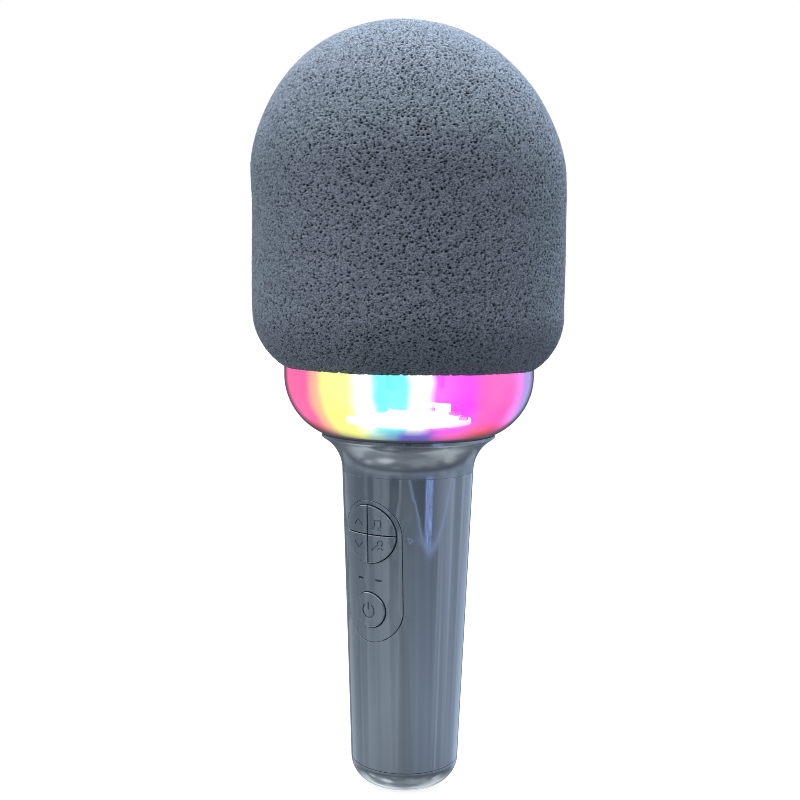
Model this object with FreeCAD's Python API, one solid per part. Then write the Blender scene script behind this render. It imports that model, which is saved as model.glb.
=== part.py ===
"""Karaoke microphone: foam-covered head, translucent light ring, flared neck and tapered handle with keys.

Frame: millimetres, +Z up along the handle, origin at the centre of the end cap's flat foot.
The control panel faces -Y, so the keys are pressed along +Y.
"""

import FreeCAD, Part
import math
import os

V = FreeCAD.Vector
UP = V(0, 0, 1)
DOWN = V(0, 0, -1)
PRESS = V(0, 1, 0)

# ---------------------------------------------------------------- driving dimensions
# Head
HEAD_R = 48.8
HEAD_TOP = 240.4
HEAD_CENTRE_Z = HEAD_TOP - HEAD_R
FOAM_CAVITY_R = 38.7
FOAM_MOUTH_R = 39.5
FOAM_MOUTH_Z = 140.2
FOAM_SKIRT_R = 18.0
FOAM_SKIRT_Z = 150.5

# Grille cage and capsule
CAGE_R = 38.3
CAGE_WALL = 1.8
CAGE_BASE_Z = 137.8
CAGE_SKIRT_BORE_R = 35.9
CAGE_SPLINE_COUNT = 12
CROWN_Z = HEAD_CENTRE_Z + CAGE_R - CAGE_WALL
CROWN_TUBE_R = 7.2
CROWN_TUBE_LENGTH = 12.0
CROWN_BORE_R = 5.4
CAPSULE_R = 4.0
CAPSULE_TOP = CROWN_Z - 0.7
BOOT_HEIGHT = 10.5
CAPSULE_BACK = CAPSULE_TOP - 7.6

# Light ring
RING_R = 39.2
RING_BEND_R = 20.0
RING_BEND_Z = 131.3
RING_WALL = 1.8
RING_TOP_Z = 137.6
RING_FLOOR_Z = 113.0
RING_FLOOR_T = 1.4
RING_FLOOR_HOLE_R = 22.0
CORE_R = 25.4
CORE_Z = 114.5
CORE_T = 1.2
CORE_CAP_Z = 132.6
CORE_CAP_R = 12.0
COLUMN_R = 6.5
COLUMN_BORE_R = 5.0
LED_BOARD_R = 19.8
LED_BOARD_Z = 116.3
LED_BOARD_T = 1.2
LED_COUNT = 8
LED_CABLE_Y = 9.4

# Neck and handle
COLLAR_TOP_Z = 112.8
COLLAR_LIP = 0.9
COLLAR_R = 27.4
COLLAR_WALL = 2.2
COLLAR_NOTCH_ANGLE = -54.0
FLARE_R = 12.0
FLARE_SWEEP = 60.0
HANDLE_TOP_Z = 101.0
HANDLE_FOOT_Z = 8.2
HANDLE_WALL = 2.0
SPIGOT_R = 18.45
WEB_Z = 94.0
WEB_T = 2.0
FOOT_R = 17.25
FOOT_Z = 8.0
FOOT_FILLET_R = 8.0
TAPER = 0.0385
SEAM = 0.06

# Controls
PAD_Z = 83.5
PAD_R = 9.0
PAD_GAP = 0.28
POWER_Z = 59.7
POWER_R = 5.5
PANEL_LOW_Z = 60.0
PANEL_HALF_WIDTH = 10.4
PANEL_T = 1.15
PANEL_CLEARANCE = 0.12
KEY_CLEARANCE = 0.15
KEY_PROUD = 0.6
KEY_EDGE_R = 0.3
PANEL_EDGE_R = 0.15
FLANGE_IN = 1.25
FLANGE_OUT = 2.0
PAD_FLANGE_LIP = 0.5
POWER_FLANGE_LIP = 0.7
LEDGE_HALF_WIDTH = 9.8
ICON_DEPTH = 0.25
ICON_STROKE = 0.5
SLOT_Z = 69.3
SLOT_X = 3.4
SLOT_SIZE = (2.2, 0.7)
SKIN_Z = (42.0, 99.0)
PRISM_NEAR = -30.0
PRISM_FAR = -8.0

# Electronics in the handle
BOARD_FRONT_Y = -11.0
BOARD_T = 1.2
BOARD_BACK_Y = BOARD_FRONT_Y + BOARD_T
BOARD_HALF_WIDTH = 10.8
BOARD_Z = (20.0, 90.5)
SWITCH_SIZE = 4.0
SWITCH_T = 1.6
PLUNGER_R = 1.1
PLUNGER_OUT = 1.0
PLUNGER_IN = 1.0
PLUNGER_TIP_Y = BOARD_FRONT_Y - SWITCH_T - PLUNGER_OUT
PAD_SWITCH_OFFSET = 3.8
STEM_R = 1.3
HEADER_SIZE = 4.0
HEADER_T = 2.2
HEADER_X = 10.4
HEADERS = {
    "mic": (1, 78.0),
    "speaker": (-1, 78.0),
    "led": (1, 62.0),
    "cell": (-1, 46.0),
    "charge": (1, 36.0),
}

# Sled and cell
SPINE_Y = (-7.4, -6.0)
SPINE_HALF_WIDTH = 11.0
SLED_HEAD_Z = 91.0
SLED_HEAD_R = 17.6
SLED_FOOT_Z = 16.2
SLED_FOOT_R = 15.0
SLED_PLATE_T = 2.0
CELL_R = 9.2
CELL_LENGTH = 65.0
CELL_Y = 4.6
CELL_Z = 18.7
CELL_TOP = CELL_Z + CELL_LENGTH

# Charging port in the end cap
CAP_FLOOR_T = 2.2
CAP_LEDGE_Z = 9.6
CAP_SPIGOT_TOP = 15.0
CHARGE_BOARD_R = 13.1
CHARGE_BOARD_T = 1.2
SOCKET_HALF_SIZE = (4.47, 1.58)
SOCKET_WALL = 0.3
SOCKET_Z = 0.6

# Speaker. Rises are counted from the back of its yoke
SPEAKER_Z = 139.8
YOKE_R = 14.0
YOKE_T = 2.2
POLE_R = 6.2
GAP_R = 7.6
MAGNET_R = 15.0
MAGNET_T = 5.5
TOP_PLATE_T = 2.5
MOTOR_TOP = SPEAKER_Z + YOKE_T + MAGNET_T + TOP_PLATE_T
COIL_R = 6.5
CONE_FOOT_R = 6.8
CONE_R = 21.6
SPIDER_Z = SPEAKER_Z + 12.8
SPEAKER_FLANGE_Z = SPEAKER_Z + 19.2
SPEAKER_FLANGE_R = 29.6
SPEAKER_FLANGE_T = 1.0
GASKET_T = 0.8
TRAY_R = 37.2
TRAY_Z = 134.0
TRAY_T = 2.0
TRAY_RIM_TOP = 145.0
CABLE_LANE_Z = 137.9
CABLE_LANE_Y = 32.2

# Screws: shaft radius, length under the head, head radius, head height
SPEAKER_SCREW = (0.9, 7.0, 1.7, 1.2)
TRAY_SCREW = (0.9, 6.5, 1.8, 0.9)
CORE_SCREW = (0.9, 8.0, 1.9, 0.9)
SLED_SCREW = (0.9, 7.0, 1.7, 1.0)
LED_SCREW = (0.8, 2.6, 1.5, 0.8)
BOARD_SCREW = (0.8, 5.0, 1.5, 0.9)
CHARGE_SCREW = (0.8, 5.4, 1.6, 1.0)
PILOT_GAP = 0.05
HOLE_GAP = 0.15

WIRE_R = 0.7
WIRE_BEND = 3.0
PARTS = {}


# ---------------------------------------------------------------- helpers
def handle_radius(z):
    """Outer radius of the tapered handle at a height."""
    return FOOT_R + (z - FOOT_Z) * TAPER


def outline(start, *steps):
    """Closed wire in the XZ plane.

    A step is a point, or a pair of points for an arc through the first one to the second.
    """
    edges = []
    here = V(start[0], 0, start[1])
    for step in steps + (start,):
        if isinstance(step[0], tuple):
            through, end = (V(p[0], 0, p[1]) for p in step)
            edges.append(Part.Arc(here, through, end).toShape())
        else:
            end = V(step[0], 0, step[1])
            if (end - here).Length > 1e-6:
                edges.append(Part.makeLine(here, end))
        here = end
    return Part.Wire(edges)


def on_arc(centre, radius, degrees):
    """Point of a circle at an angle in degrees from outwards towards +Z."""
    angle = math.radians(degrees)
    return (centre[0] + radius * math.cos(angle), centre[1] + radius * math.sin(angle))


def bend(centre, radius, start, end):
    """Arc step round a centre, between two angles in degrees from outwards towards +Z."""
    return (on_arc(centre, radius, (start + end) / 2), on_arc(centre, radius, end))


def turned(start, *steps):
    """Solid of revolution about Z from a profile of (radius, z)."""
    return Part.Face(outline(start, *steps)).revolve(V(), UP, 360)


def tube(outer_r, inner_r, low, high, centre=(0, 0)):
    """Round tube along Z."""
    base = V(centre[0], centre[1], low)
    body = Part.makeCylinder(outer_r, high - low, base, UP)
    return body.cut(Part.makeCylinder(inner_r, high - low, base, UP))


def rod(radius, low, high, centre=(0, 0)):
    """Round rod along Z."""
    return Part.makeCylinder(radius, high - low, V(centre[0], centre[1], low), UP)


def block(x, y, z):
    """Box between pairs of limits."""
    return Part.makeBox(x[1] - x[0], y[1] - y[0], z[1] - z[0], V(x[0], y[0], z[0]))


def polar(radius, degrees):
    """Point (x, y) at a radius and an angle from +X."""
    a = math.radians(degrees)
    return (radius * math.cos(a), radius * math.sin(a))


def spun(shape, count, start=0.0):
    """Copies of a shape spread round Z."""
    copies = []
    for i in range(count):
        copy = shape.copy()
        copy.rotate(V(), UP, start + 360.0 * i / count)
        copies.append(copy)
    return copies


def joined(shapes):
    """One solid from touching shapes, with split faces merged."""
    shapes = list(shapes)
    return shapes[0].multiFuse(shapes[1:]).removeSplitter()


def ring_spots(radius, count, start):
    """Points (x, y) spread round the axis, the first one at an angle from +X."""
    return [polar(radius, start + 360.0 * i / count) for i in range(count)]


def drilled(shape, spots, radius, low, high):
    """Shape with a round hole along Z at each spot."""
    return shape.cut([rod(radius, low, high, spot) for spot in spots])


def pilot(size):
    """Radius of a hole that the screw's thread bites into."""
    return size[0] + PILOT_GAP


def clear(size):
    """Radius of a hole that the screw passes through."""
    return size[0] + HOLE_GAP


def screw(head_base, along, size):
    """Pan-head screw with a cross recess. head_base is under the head, and along points down the shaft."""
    shaft_r, length, head_r, head_h = size
    head = Part.makeCylinder(head_r, head_h, head_base, along * -1)
    head = head.makeFillet(head_h * 0.4, [head.Edges[0]])
    shaft = Part.makeCylinder(shaft_r, length, head_base, along)
    body = head.fuse(shaft)
    top = head_base - along * head_h
    bar_length, bar_width, depth = head_r * 1.1, head_r * 0.26, head_h * 0.5
    for turn in (0, 90):
        corner = V(-bar_length / 2, -bar_width / 2, -depth)
        bar = Part.makeBox(bar_length, bar_width, depth * 2, corner)
        bar.rotate(V(), UP, turn)
        bar.Placement = FreeCAD.Placement(top, FreeCAD.Rotation(UP, along)).multiply(bar.Placement)
        body = body.cut(bar)
    return body


def screws(spots, height, along, size):
    """Screws along Z with their heads seated at a height."""
    return [screw(V(x, y, height), along, size) for x, y in spots]


SPEAKER_SCREW_SPOTS = ring_spots(27.5, 4, 45.0)
TRAY_SCREW_SPOTS = ring_spots(9.3, 3, 30.0)
CORE_SCREW_SPOTS = ring_spots(17.0, 3, 30.0)
LED_SCREW_SPOTS = ring_spots(13.0, 3, 0.0)
SLED_SCREW_SPOTS = ring_spots(13.0, 3, 30.0)
CHARGE_SCREW_SPOTS = [(0, -8.0), (0, 8.0)]
BOARD_SCREW_SPOTS = [(x, z) for z in (24.0, 72.0) for x in (-8.0, 8.0)]


def cable(points):
    """Round cable along straight runs, with a smooth bend at each corner."""
    stops = [V(*p) for p in points]
    edges = []
    here = stops[0]
    for before, corner, after in zip(stops, stops[1:], stops[2:]):
        back, onward = before - corner, after - corner
        reach = min(WIRE_BEND, back.Length * 0.48, onward.Length * 0.48)
        back.normalize()
        onward.normalize()
        start, end = corner + back * reach, corner + onward * reach
        half_angle = back.getAngle(onward) / 2
        bend_r = reach * math.tan(half_angle)
        inward = (back + onward).normalize()
        middle = corner + inward * (reach / math.cos(half_angle) - bend_r)
        edges.append(Part.makeLine(here, start))
        edges.append(Part.Arc(start, middle, end).toShape())
        here = end
    edges.append(Part.makeLine(here, stops[-1]))
    ring = Part.Wire(Part.makeCircle(WIRE_R, stops[0], stops[1] - stops[0]))
    return Part.Wire(edges).makePipeShell([ring], True, True)


def add(name, *solids):
    """Keeps the solids of one node."""
    PARTS[name] = list(solids)


# ---------------------------------------------------------------- shapes drawn as the keys are seen
def facing(wire):
    """Prism along Y, through the front of the handle, from a wire drawn in the XZ plane."""
    face = Part.Face(wire)
    face.translate(PRESS * PRISM_NEAR)
    return face.extrude(PRESS * (PRISM_FAR - PRISM_NEAR))


def round_prism(radius, centre_z, centre_x=0.0):
    """Round prism along Y, through the front of the handle."""
    return Part.makeCylinder(radius, PRISM_FAR - PRISM_NEAR, V(centre_x, PRISM_NEAR, centre_z), PRESS)


def racetrack(half_width, low_z, high_z):
    """Prism along Y with straight sides and half-round ends about two heights."""
    wire = outline(
        (half_width, low_z),
        (half_width, high_z),
        ((0, high_z + half_width), (-half_width, high_z)),
        (-half_width, low_z),
        ((0, low_z - half_width), (half_width, low_z)),
    )
    return facing(wire)


def skin(outer, inner):
    """Band round the controls' stretch of the handle, between two offsets from its outer surface."""
    low, high = SKIN_Z
    return turned(
        (handle_radius(low) + outer, low),
        (handle_radius(high) + outer, high),
        (handle_radius(high) + inner, high),
        (handle_radius(low) + inner, low),
    )


def stroke(points, width=ICON_STROKE):
    """Prism along Y of a line with round ends and corners."""
    bars = []
    for (x0, z0), (x1, z1) in zip(points, points[1:]):
        length = math.hypot(x1 - x0, z1 - z0)
        nx, nz = -(z1 - z0) / length * width / 2, (x1 - x0) / length * width / 2
        tx, tz = (x1 - x0) / length * width / 2, (z1 - z0) / length * width / 2
        wire = outline(
            (x0 + nx, z0 + nz),
            ((x0 - tx, z0 - tz), (x0 - nx, z0 - nz)),
            (x1 - nx, z1 - nz),
            ((x1 + tx, z1 + tz), (x1 + nx, z1 + nz)),
        )
        bars.append(facing(wire))
    return joined(bars) if len(bars) > 1 else bars[0]


def arc_stroke(x, z, radius, start, end, width=ICON_STROKE):
    """Prism along Y of part of a ring, between two angles from +X towards +Z."""
    centre, outer_r, inner_r = (x, z), radius + width / 2, radius - width / 2
    return facing(
        outline(
            on_arc(centre, outer_r, start),
            bend(centre, outer_r, start, end),
            on_arc(centre, inner_r, end),
            bend(centre, inner_r, end, start),
        )
    )


# ---------------------------------------------------------------- head
def foam_windscreen():
    """Soft dome pulled over the cage, with its skirt curled in on to the light ring."""
    skirt_centre = (HEAD_R - FOAM_SKIRT_R, FOAM_SKIRT_Z)
    reach = FOAM_MOUTH_R - skirt_centre[0]
    angle = -math.degrees(math.acos(reach / FOAM_SKIRT_R))
    dome = (0, HEAD_CENTRE_Z)
    return turned(
        on_arc(skirt_centre, FOAM_SKIRT_R, angle),
        bend(skirt_centre, FOAM_SKIRT_R, angle, 0),
        (HEAD_R, HEAD_CENTRE_Z),
        bend(dome, HEAD_R, 0, 90),
        (0, HEAD_CENTRE_Z + FOAM_CAVITY_R),
        bend(dome, FOAM_CAVITY_R, 90, 0),
        (FOAM_CAVITY_R, FOAM_MOUTH_Z + FOAM_MOUTH_R - FOAM_CAVITY_R),
        (FOAM_MOUTH_R, FOAM_MOUTH_Z),
    )


def cage_shell():
    """Dome of the cage with a stepped skirt that snaps over the tray's rim."""
    inner_r = CAGE_R - CAGE_WALL
    dome = (0, HEAD_CENTRE_Z)
    skirt_top = TRAY_RIM_TOP + 1.0
    skirt_foot = TRAY_Z + TRAY_T + 0.2
    return turned(
        (CAGE_R, CAGE_BASE_Z),
        (CAGE_R, HEAD_CENTRE_Z),
        bend(dome, CAGE_R, 0, 90),
        (0, HEAD_CENTRE_Z + inner_r),
        bend(dome, inner_r, 90, 0),
        (inner_r, skirt_top + 1.0),
        (CAGE_SKIRT_BORE_R, skirt_top),
        (CAGE_SKIRT_BORE_R, skirt_foot),
        (TRAY_R, skirt_foot),
        (TRAY_R, CAGE_BASE_Z),
    )


def wall_windows():
    """Three rows of rounded windows in the cage's straight wall."""
    lowest, pitch, height, half_width, corner_r = 149.0, 14.5, 11.5, 7.2, 3.0
    windows = []
    for row in range(3):
        low = lowest + row * pitch
        window = block((-half_width, half_width), (30.0, 45.0), (low, low + height))
        corners = [e for e in window.Edges if abs(e.tangentAt(e.FirstParameter).y) > 0.9]
        windows += spun(window.makeFillet(corner_r, corners), CAGE_SPLINE_COUNT)
    return windows


def dome_windows():
    """Three rows of windows in the cage's dome, between pairs of latitudes and with a width, in degrees."""
    dome, near, far = (0, HEAD_CENTRE_Z), 30.0, 45.0
    windows = []
    for low, high, width in ((4, 24, 22), (29, 49, 22), (54, 70, 20)):
        section = outline(
            on_arc(dome, near, low),
            on_arc(dome, far, low),
            bend(dome, far, low, high),
            on_arc(dome, near, high),
            bend(dome, near, high, low),
        )
        wedge = Part.Face(section).revolve(V(), UP, width)
        windows += spun(wedge, CAGE_SPLINE_COUNT, 90 - width / 2)
    return windows


def grille_cage():
    """Moulded dome cage with windows, and a crown tube for the capsule."""
    shell = cage_shell().cut(wall_windows() + dome_windows())
    shell = shell.fuse(rod(CROWN_TUBE_R, CROWN_Z - CROWN_TUBE_LENGTH, CROWN_Z - 0.2))
    shell = shell.cut(rod(CROWN_BORE_R, CROWN_Z - CROWN_TUBE_LENGTH - 1.0, CROWN_Z - 0.6))
    sound_hole = rod(CAPSULE_R - 0.6, CROWN_Z - 2.0, CROWN_Z + 5.0)
    return shell.cut(sound_hole).removeSplitter()


def mic_boot():
    """Rubber boot that holds the capsule in the crown tube."""
    outer_r, bore_r, cable_r = CROWN_BORE_R - 0.1, CAPSULE_R + 0.1, 1.3
    low = CAPSULE_TOP - BOOT_HEIGHT
    floor = low + 1.6
    return turned(
        (cable_r, low),
        (outer_r, low),
        (outer_r, CAPSULE_TOP),
        (bore_r, CAPSULE_TOP),
        (bore_r, floor),
        (cable_r, floor),
    )


def mic_capsule():
    """Electret capsule with a crimped rim."""
    crimp, rim_r = 0.4, CAPSULE_R - 0.6
    face = CAPSULE_TOP - 1.1
    return turned(
        (0, CAPSULE_BACK),
        (CAPSULE_R - crimp, CAPSULE_BACK),
        (CAPSULE_R, CAPSULE_BACK + crimp),
        (CAPSULE_R, face - 0.1),
        (rim_r, face + 0.3),
        (rim_r, face),
        (0, face),
    )


def speaker_tray():
    """Floor of the head, with the speaker's housing and the rim that the cage snaps on to."""
    floor = TRAY_Z + TRAY_T
    shelf = SPEAKER_FLANGE_Z - GASKET_T
    rim_r, rim_wall = CAGE_SKIRT_BORE_R - 0.2, 1.5
    housing_r, housing_bore_r, mouth_r = 30.2, 28.6, 25.2
    tray = turned(
        (COLUMN_BORE_R, TRAY_Z),
        (TRAY_R, TRAY_Z),
        (TRAY_R, floor),
        (rim_r, floor),
        (rim_r, TRAY_RIM_TOP),
        (rim_r - rim_wall, TRAY_RIM_TOP),
        (rim_r - rim_wall, floor),
        (housing_r, floor),
        (housing_r, shelf),
        (mouth_r, shelf),
        (mouth_r, shelf - 1.8),
        (housing_bore_r, shelf - 4.6),
        (housing_bore_r, floor),
        (COLUMN_BORE_R, floor),
    )
    bosses = [rod(2.3, floor - 0.5, shelf - 1.0, spot) for spot in SPEAKER_SCREW_SPOTS]
    tray = joined([tray] + bosses)
    tray = drilled(tray, SPEAKER_SCREW_SPOTS, pilot(SPEAKER_SCREW), shelf - 8.0, shelf)
    tray = drilled(tray, TRAY_SCREW_SPOTS, clear(TRAY_SCREW), TRAY_Z, floor)
    tray = drilled(tray, TRAY_SCREW_SPOTS, TRAY_SCREW[2] + 0.2, floor - 0.8, floor)
    cable_notch = Part.makeCylinder(1.6, 6.0, V(0, 26.0, CABLE_LANE_Z), PRESS)
    return tray.cut(cable_notch)


# ---------------------------------------------------------------- speaker
def speaker_motor():
    """Yoke with its pole, ferrite ring and top plate."""
    plate_z = SPEAKER_Z + YOKE_T
    yoke = turned(
        (0, SPEAKER_Z),
        (YOKE_R, SPEAKER_Z),
        (YOKE_R, plate_z),
        (POLE_R, plate_z),
        (POLE_R, MOTOR_TOP),
        (0, MOTOR_TOP),
    )
    magnet = tube(MAGNET_R, GAP_R + 0.2, plate_z, plate_z + MAGNET_T)
    top_plate = tube(YOKE_R, GAP_R, plate_z + MAGNET_T, MOTOR_TOP)
    return yoke, magnet, top_plate


def speaker_basket():
    """Pressed steel basket with four windows, a shelf for the spider and a terminal tab."""
    sheet = SPEAKER_FLANGE_T
    floor_r, foot_r, mouth_r, opening_r = 8.4, YOKE_R + 0.4, 24.6, 23.8
    shelf_in_r, shelf_out_r = 12.9, 14.8
    basket = turned(
        (floor_r, MOTOR_TOP),
        (foot_r, MOTOR_TOP),
        (mouth_r, SPEAKER_FLANGE_Z - 0.1),
        (mouth_r, SPEAKER_FLANGE_Z),
        (SPEAKER_FLANGE_R, SPEAKER_FLANGE_Z),
        (SPEAKER_FLANGE_R, SPEAKER_FLANGE_Z + sheet),
        (opening_r, SPEAKER_FLANGE_Z + sheet),
        (opening_r, SPEAKER_FLANGE_Z + 0.3),
        (shelf_out_r, SPIDER_Z),
        (shelf_in_r, SPIDER_Z),
        (shelf_in_r, MOTOR_TOP + sheet),
        (floor_r, MOTOR_TOP + sheet),
    )
    window_sweep = 56.0
    window_low, window_high = SPIDER_Z + 0.8, SPEAKER_FLANGE_Z - 1.4
    section = outline((15.5, SPEAKER_Z + 8.0), (22.5, window_low), (22.5, window_high), (16.0, window_low))
    window = Part.Face(section).revolve(V(), UP, window_sweep)
    basket = basket.cut(spun(window, 4, 45.0 - window_sweep / 2))
    hole_z = (SPEAKER_FLANGE_Z - 1.0, SPEAKER_FLANGE_Z + 2.0)
    basket = drilled(basket, SPEAKER_SCREW_SPOTS, clear(SPEAKER_SCREW), *hole_z)
    tab_z = SPIDER_Z + 1.4
    tab = block((-21.0, -17.2), (-3.0, 3.0), (tab_z, tab_z + sheet))
    return basket.fuse(tab).removeSplitter()


def speaker_cone():
    """Paper cone from the voice coil out to the surround."""
    foot_z, top_z, pulp = SPIDER_Z + 0.8, SPEAKER_FLANGE_Z + 0.45, 0.75
    return turned(
        (CONE_FOOT_R, foot_z),
        (CONE_R, top_z),
        (CONE_R - 0.9, top_z + 0.5),
        (CONE_FOOT_R + 0.5, foot_z + pulp),
        (CONE_FOOT_R, foot_z + pulp),
    )


def cone_surround():
    """Rubber half roll between the cone and the flange."""
    low, sheet = SPEAKER_FLANGE_Z + SPEAKER_FLANGE_T, 0.4
    roll_r, outer_r, inner_r, rim_r, foot_r = 23.2, 1.7, 1.4, 25.6, 20.6
    return turned(
        (rim_r, low),
        (rim_r, low + sheet),
        (roll_r + outer_r, low + sheet),
        bend((roll_r, low + sheet), outer_r, 0, 180),
        (foot_r, low + sheet),
        (foot_r, low),
        (roll_r - inner_r, low),
        bend((roll_r, low), inner_r, 180, 0),
    )


def cone_spider():
    """Corrugated cloth disc that centres the coil."""
    sheet, first_r, pitch, rise, rim_r = 0.35, 7.6, 1.05, 0.5, 14.3
    crests = [(first_r + pitch * i, SPIDER_Z + (rise if i % 2 else 0.05)) for i in range(6)]
    return turned(
        (CONE_FOOT_R, SPIDER_Z),
        *crests,
        (rim_r, SPIDER_Z),
        (rim_r, SPIDER_Z + sheet),
        *[(r, h + sheet) for r, h in reversed(crests)],
        (CONE_FOOT_R, SPIDER_Z + sheet),
    )


def dust_cap():
    """Thin domed cap over the coil."""
    rim_r, depth, sheet = 8.1, 8.0, 0.35
    centre = (0, SPEAKER_Z + 14.9 - depth)
    radius = math.hypot(rim_r, depth)
    rim = math.degrees(math.atan2(depth, rim_r))
    return turned(
        on_arc(centre, radius, rim),
        bend(centre, radius, rim, 90),
        (0, centre[1] + radius - sheet),
        bend(centre, radius - sheet, 90, rim),
    )


def voice_coil():
    """Former with its winding in the magnet's gap."""
    former_r, winding_r = COIL_R + 0.25, 7.2
    low, winding_low, winding_high, top = (SPEAKER_Z + rise for rise in (4.8, 6.2, 11.6, 14.6))
    return turned(
        (COIL_R, low),
        (former_r, low),
        (former_r, winding_low),
        (winding_r, winding_low),
        (winding_r, winding_high),
        (former_r, winding_high),
        (former_r, top),
        (COIL_R, top),
    )


def speaker_gasket():
    """Rubber ring between the basket's flange and the tray."""
    gasket = tube(SPEAKER_FLANGE_R - 0.2, 25.3, SPEAKER_FLANGE_Z - GASKET_T, SPEAKER_FLANGE_Z)
    hole_z = (SPEAKER_FLANGE_Z - 1.0, SPEAKER_FLANGE_Z + 1.0)
    return drilled(gasket, SPEAKER_SCREW_SPOTS, clear(SPEAKER_SCREW), *hole_z)


# ---------------------------------------------------------------- light ring
def light_diffuser():
    """Clear bowl with a rolled-in floor."""
    centre = (RING_R - RING_BEND_R, RING_BEND_Z)
    floor_top = RING_FLOOR_Z + RING_FLOOR_T
    outer = -math.degrees(math.asin((RING_BEND_Z - RING_FLOOR_Z) / RING_BEND_R))
    inner_r = RING_BEND_R - RING_WALL
    inner = -math.degrees(math.asin((RING_BEND_Z - floor_top) / inner_r))
    return turned(
        on_arc(centre, RING_BEND_R, outer),
        bend(centre, RING_BEND_R, outer, 0),
        (RING_R, RING_TOP_Z),
        (RING_R - RING_WALL, RING_TOP_Z),
        (RING_R - RING_WALL, RING_BEND_Z),
        bend(centre, inner_r, 0, inner),
        (RING_FLOOR_HOLE_R, floor_top),
        (RING_FLOOR_HOLE_R, RING_FLOOR_Z),
    )


def light_core():
    """White reflector flange with the hollow column that carries the head."""
    flange_top = CORE_Z + CORE_T
    cap_top = TRAY_Z - 0.05
    core = turned(
        (COLUMN_BORE_R, CORE_Z),
        (CORE_R, CORE_Z),
        (CORE_R, flange_top),
        (COLUMN_R, flange_top),
        (COLUMN_R, CORE_CAP_Z - 1.5),
        (COLUMN_R + 1.5, CORE_CAP_Z),
        (CORE_CAP_R, CORE_CAP_Z),
        (CORE_CAP_R, cap_top),
        (COLUMN_BORE_R, cap_top),
    )
    posts = [rod(1.8, flange_top - 0.4, LED_BOARD_Z, spot) for spot in LED_SCREW_SPOTS]
    bosses = [rod(2.0, CORE_CAP_Z - 5.5, CORE_CAP_Z + 0.4, spot) for spot in TRAY_SCREW_SPOTS]
    core = joined([core] + posts + bosses)
    core = drilled(core, CORE_SCREW_SPOTS, clear(CORE_SCREW), CORE_Z, flange_top)
    core = drilled(core, CORE_SCREW_SPOTS, CORE_SCREW[2] + 0.3, CORE_Z + 0.5, flange_top)
    core = drilled(core, LED_SCREW_SPOTS, pilot(LED_SCREW), CORE_Z, LED_BOARD_Z)
    core = drilled(core, TRAY_SCREW_SPOTS, pilot(TRAY_SCREW), CORE_CAP_Z - 5.0, TRAY_Z)
    return drilled(core, [(0, LED_CABLE_Y)], 1.3, CORE_Z - 1.0, flange_top + 1.0)


def led_board():
    """Ring-shaped circuit board with a slot for its cable."""
    top = LED_BOARD_Z + LED_BOARD_T
    board = tube(LED_BOARD_R, COLUMN_R + 0.3, LED_BOARD_Z, top)
    board = drilled(board, LED_SCREW_SPOTS, clear(LED_SCREW), LED_BOARD_Z, top)
    return board.cut(block((-1.6, 1.6), (6.0, LED_CABLE_Y + 1.4), (LED_BOARD_Z - 1.0, top + 1.0)))


def rgb_leds():
    """Ring of LED packages, each with a low round lens."""
    low, depth, half_width, height = LED_BOARD_Z + LED_BOARD_T, 2.3, 1.75, 1.1
    outer = LED_BOARD_R - 0.9
    package = block((outer - depth, outer), (-half_width, half_width), (low, low + height))
    lens = rod(0.8, low + height, low + height + 0.25, (outer - depth / 2, 0))
    return spun(package.fuse(lens), LED_COUNT, 180.0 / LED_COUNT)


def led_connector():
    """Cable connector that opens towards the column."""
    low, half_width, near, far, height = LED_BOARD_Z + LED_BOARD_T, 3.7, 14.2, 18.6, 3.3
    side_wall, back_wall, top_wall = 0.7, 1.2, 0.6
    body = block((-half_width, half_width), (near, far), (low, low + height))
    inner = half_width - side_wall
    socket_z = (low + side_wall, low + height - top_wall)
    socket = block((-inner, inner), (near - 1.0, far - back_wall), socket_z)
    return body.cut(socket)


# ---------------------------------------------------------------- neck and handle
def flared_shell():
    """Turned body of the collar: flare, lip, spigot and the web that carries the sled."""
    seat = HANDLE_TOP_Z + SEAM
    root = handle_radius(HANDLE_TOP_Z)
    centre = (root + FLARE_R, seat)
    inner_flare_r = FLARE_R + COLLAR_WALL
    inner_sweep = 48.0
    mouth_r, spigot_bore_r, web_bore_r = 22.2, SPIGOT_R - 1.85, 6.2
    return turned(
        (root, seat),
        bend(centre, FLARE_R, 180, 180 - FLARE_SWEEP),
        (COLLAR_R, COLLAR_TOP_Z - COLLAR_LIP),
        (COLLAR_R, COLLAR_TOP_Z),
        (mouth_r, COLLAR_TOP_Z),
        (mouth_r, COLLAR_TOP_Z - COLLAR_WALL),
        on_arc(centre, inner_flare_r, 180 - inner_sweep),
        bend(centre, inner_flare_r, 180 - inner_sweep, 180),
        (spigot_bore_r, seat - 1.4),
        (spigot_bore_r, WEB_Z + WEB_T),
        (web_bore_r, WEB_Z + WEB_T),
        (web_bore_r, WEB_Z),
        (SPIGOT_R - 0.15, WEB_Z),
        (SPIGOT_R, WEB_Z + 0.4),
        (SPIGOT_R, seat),
    )


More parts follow.
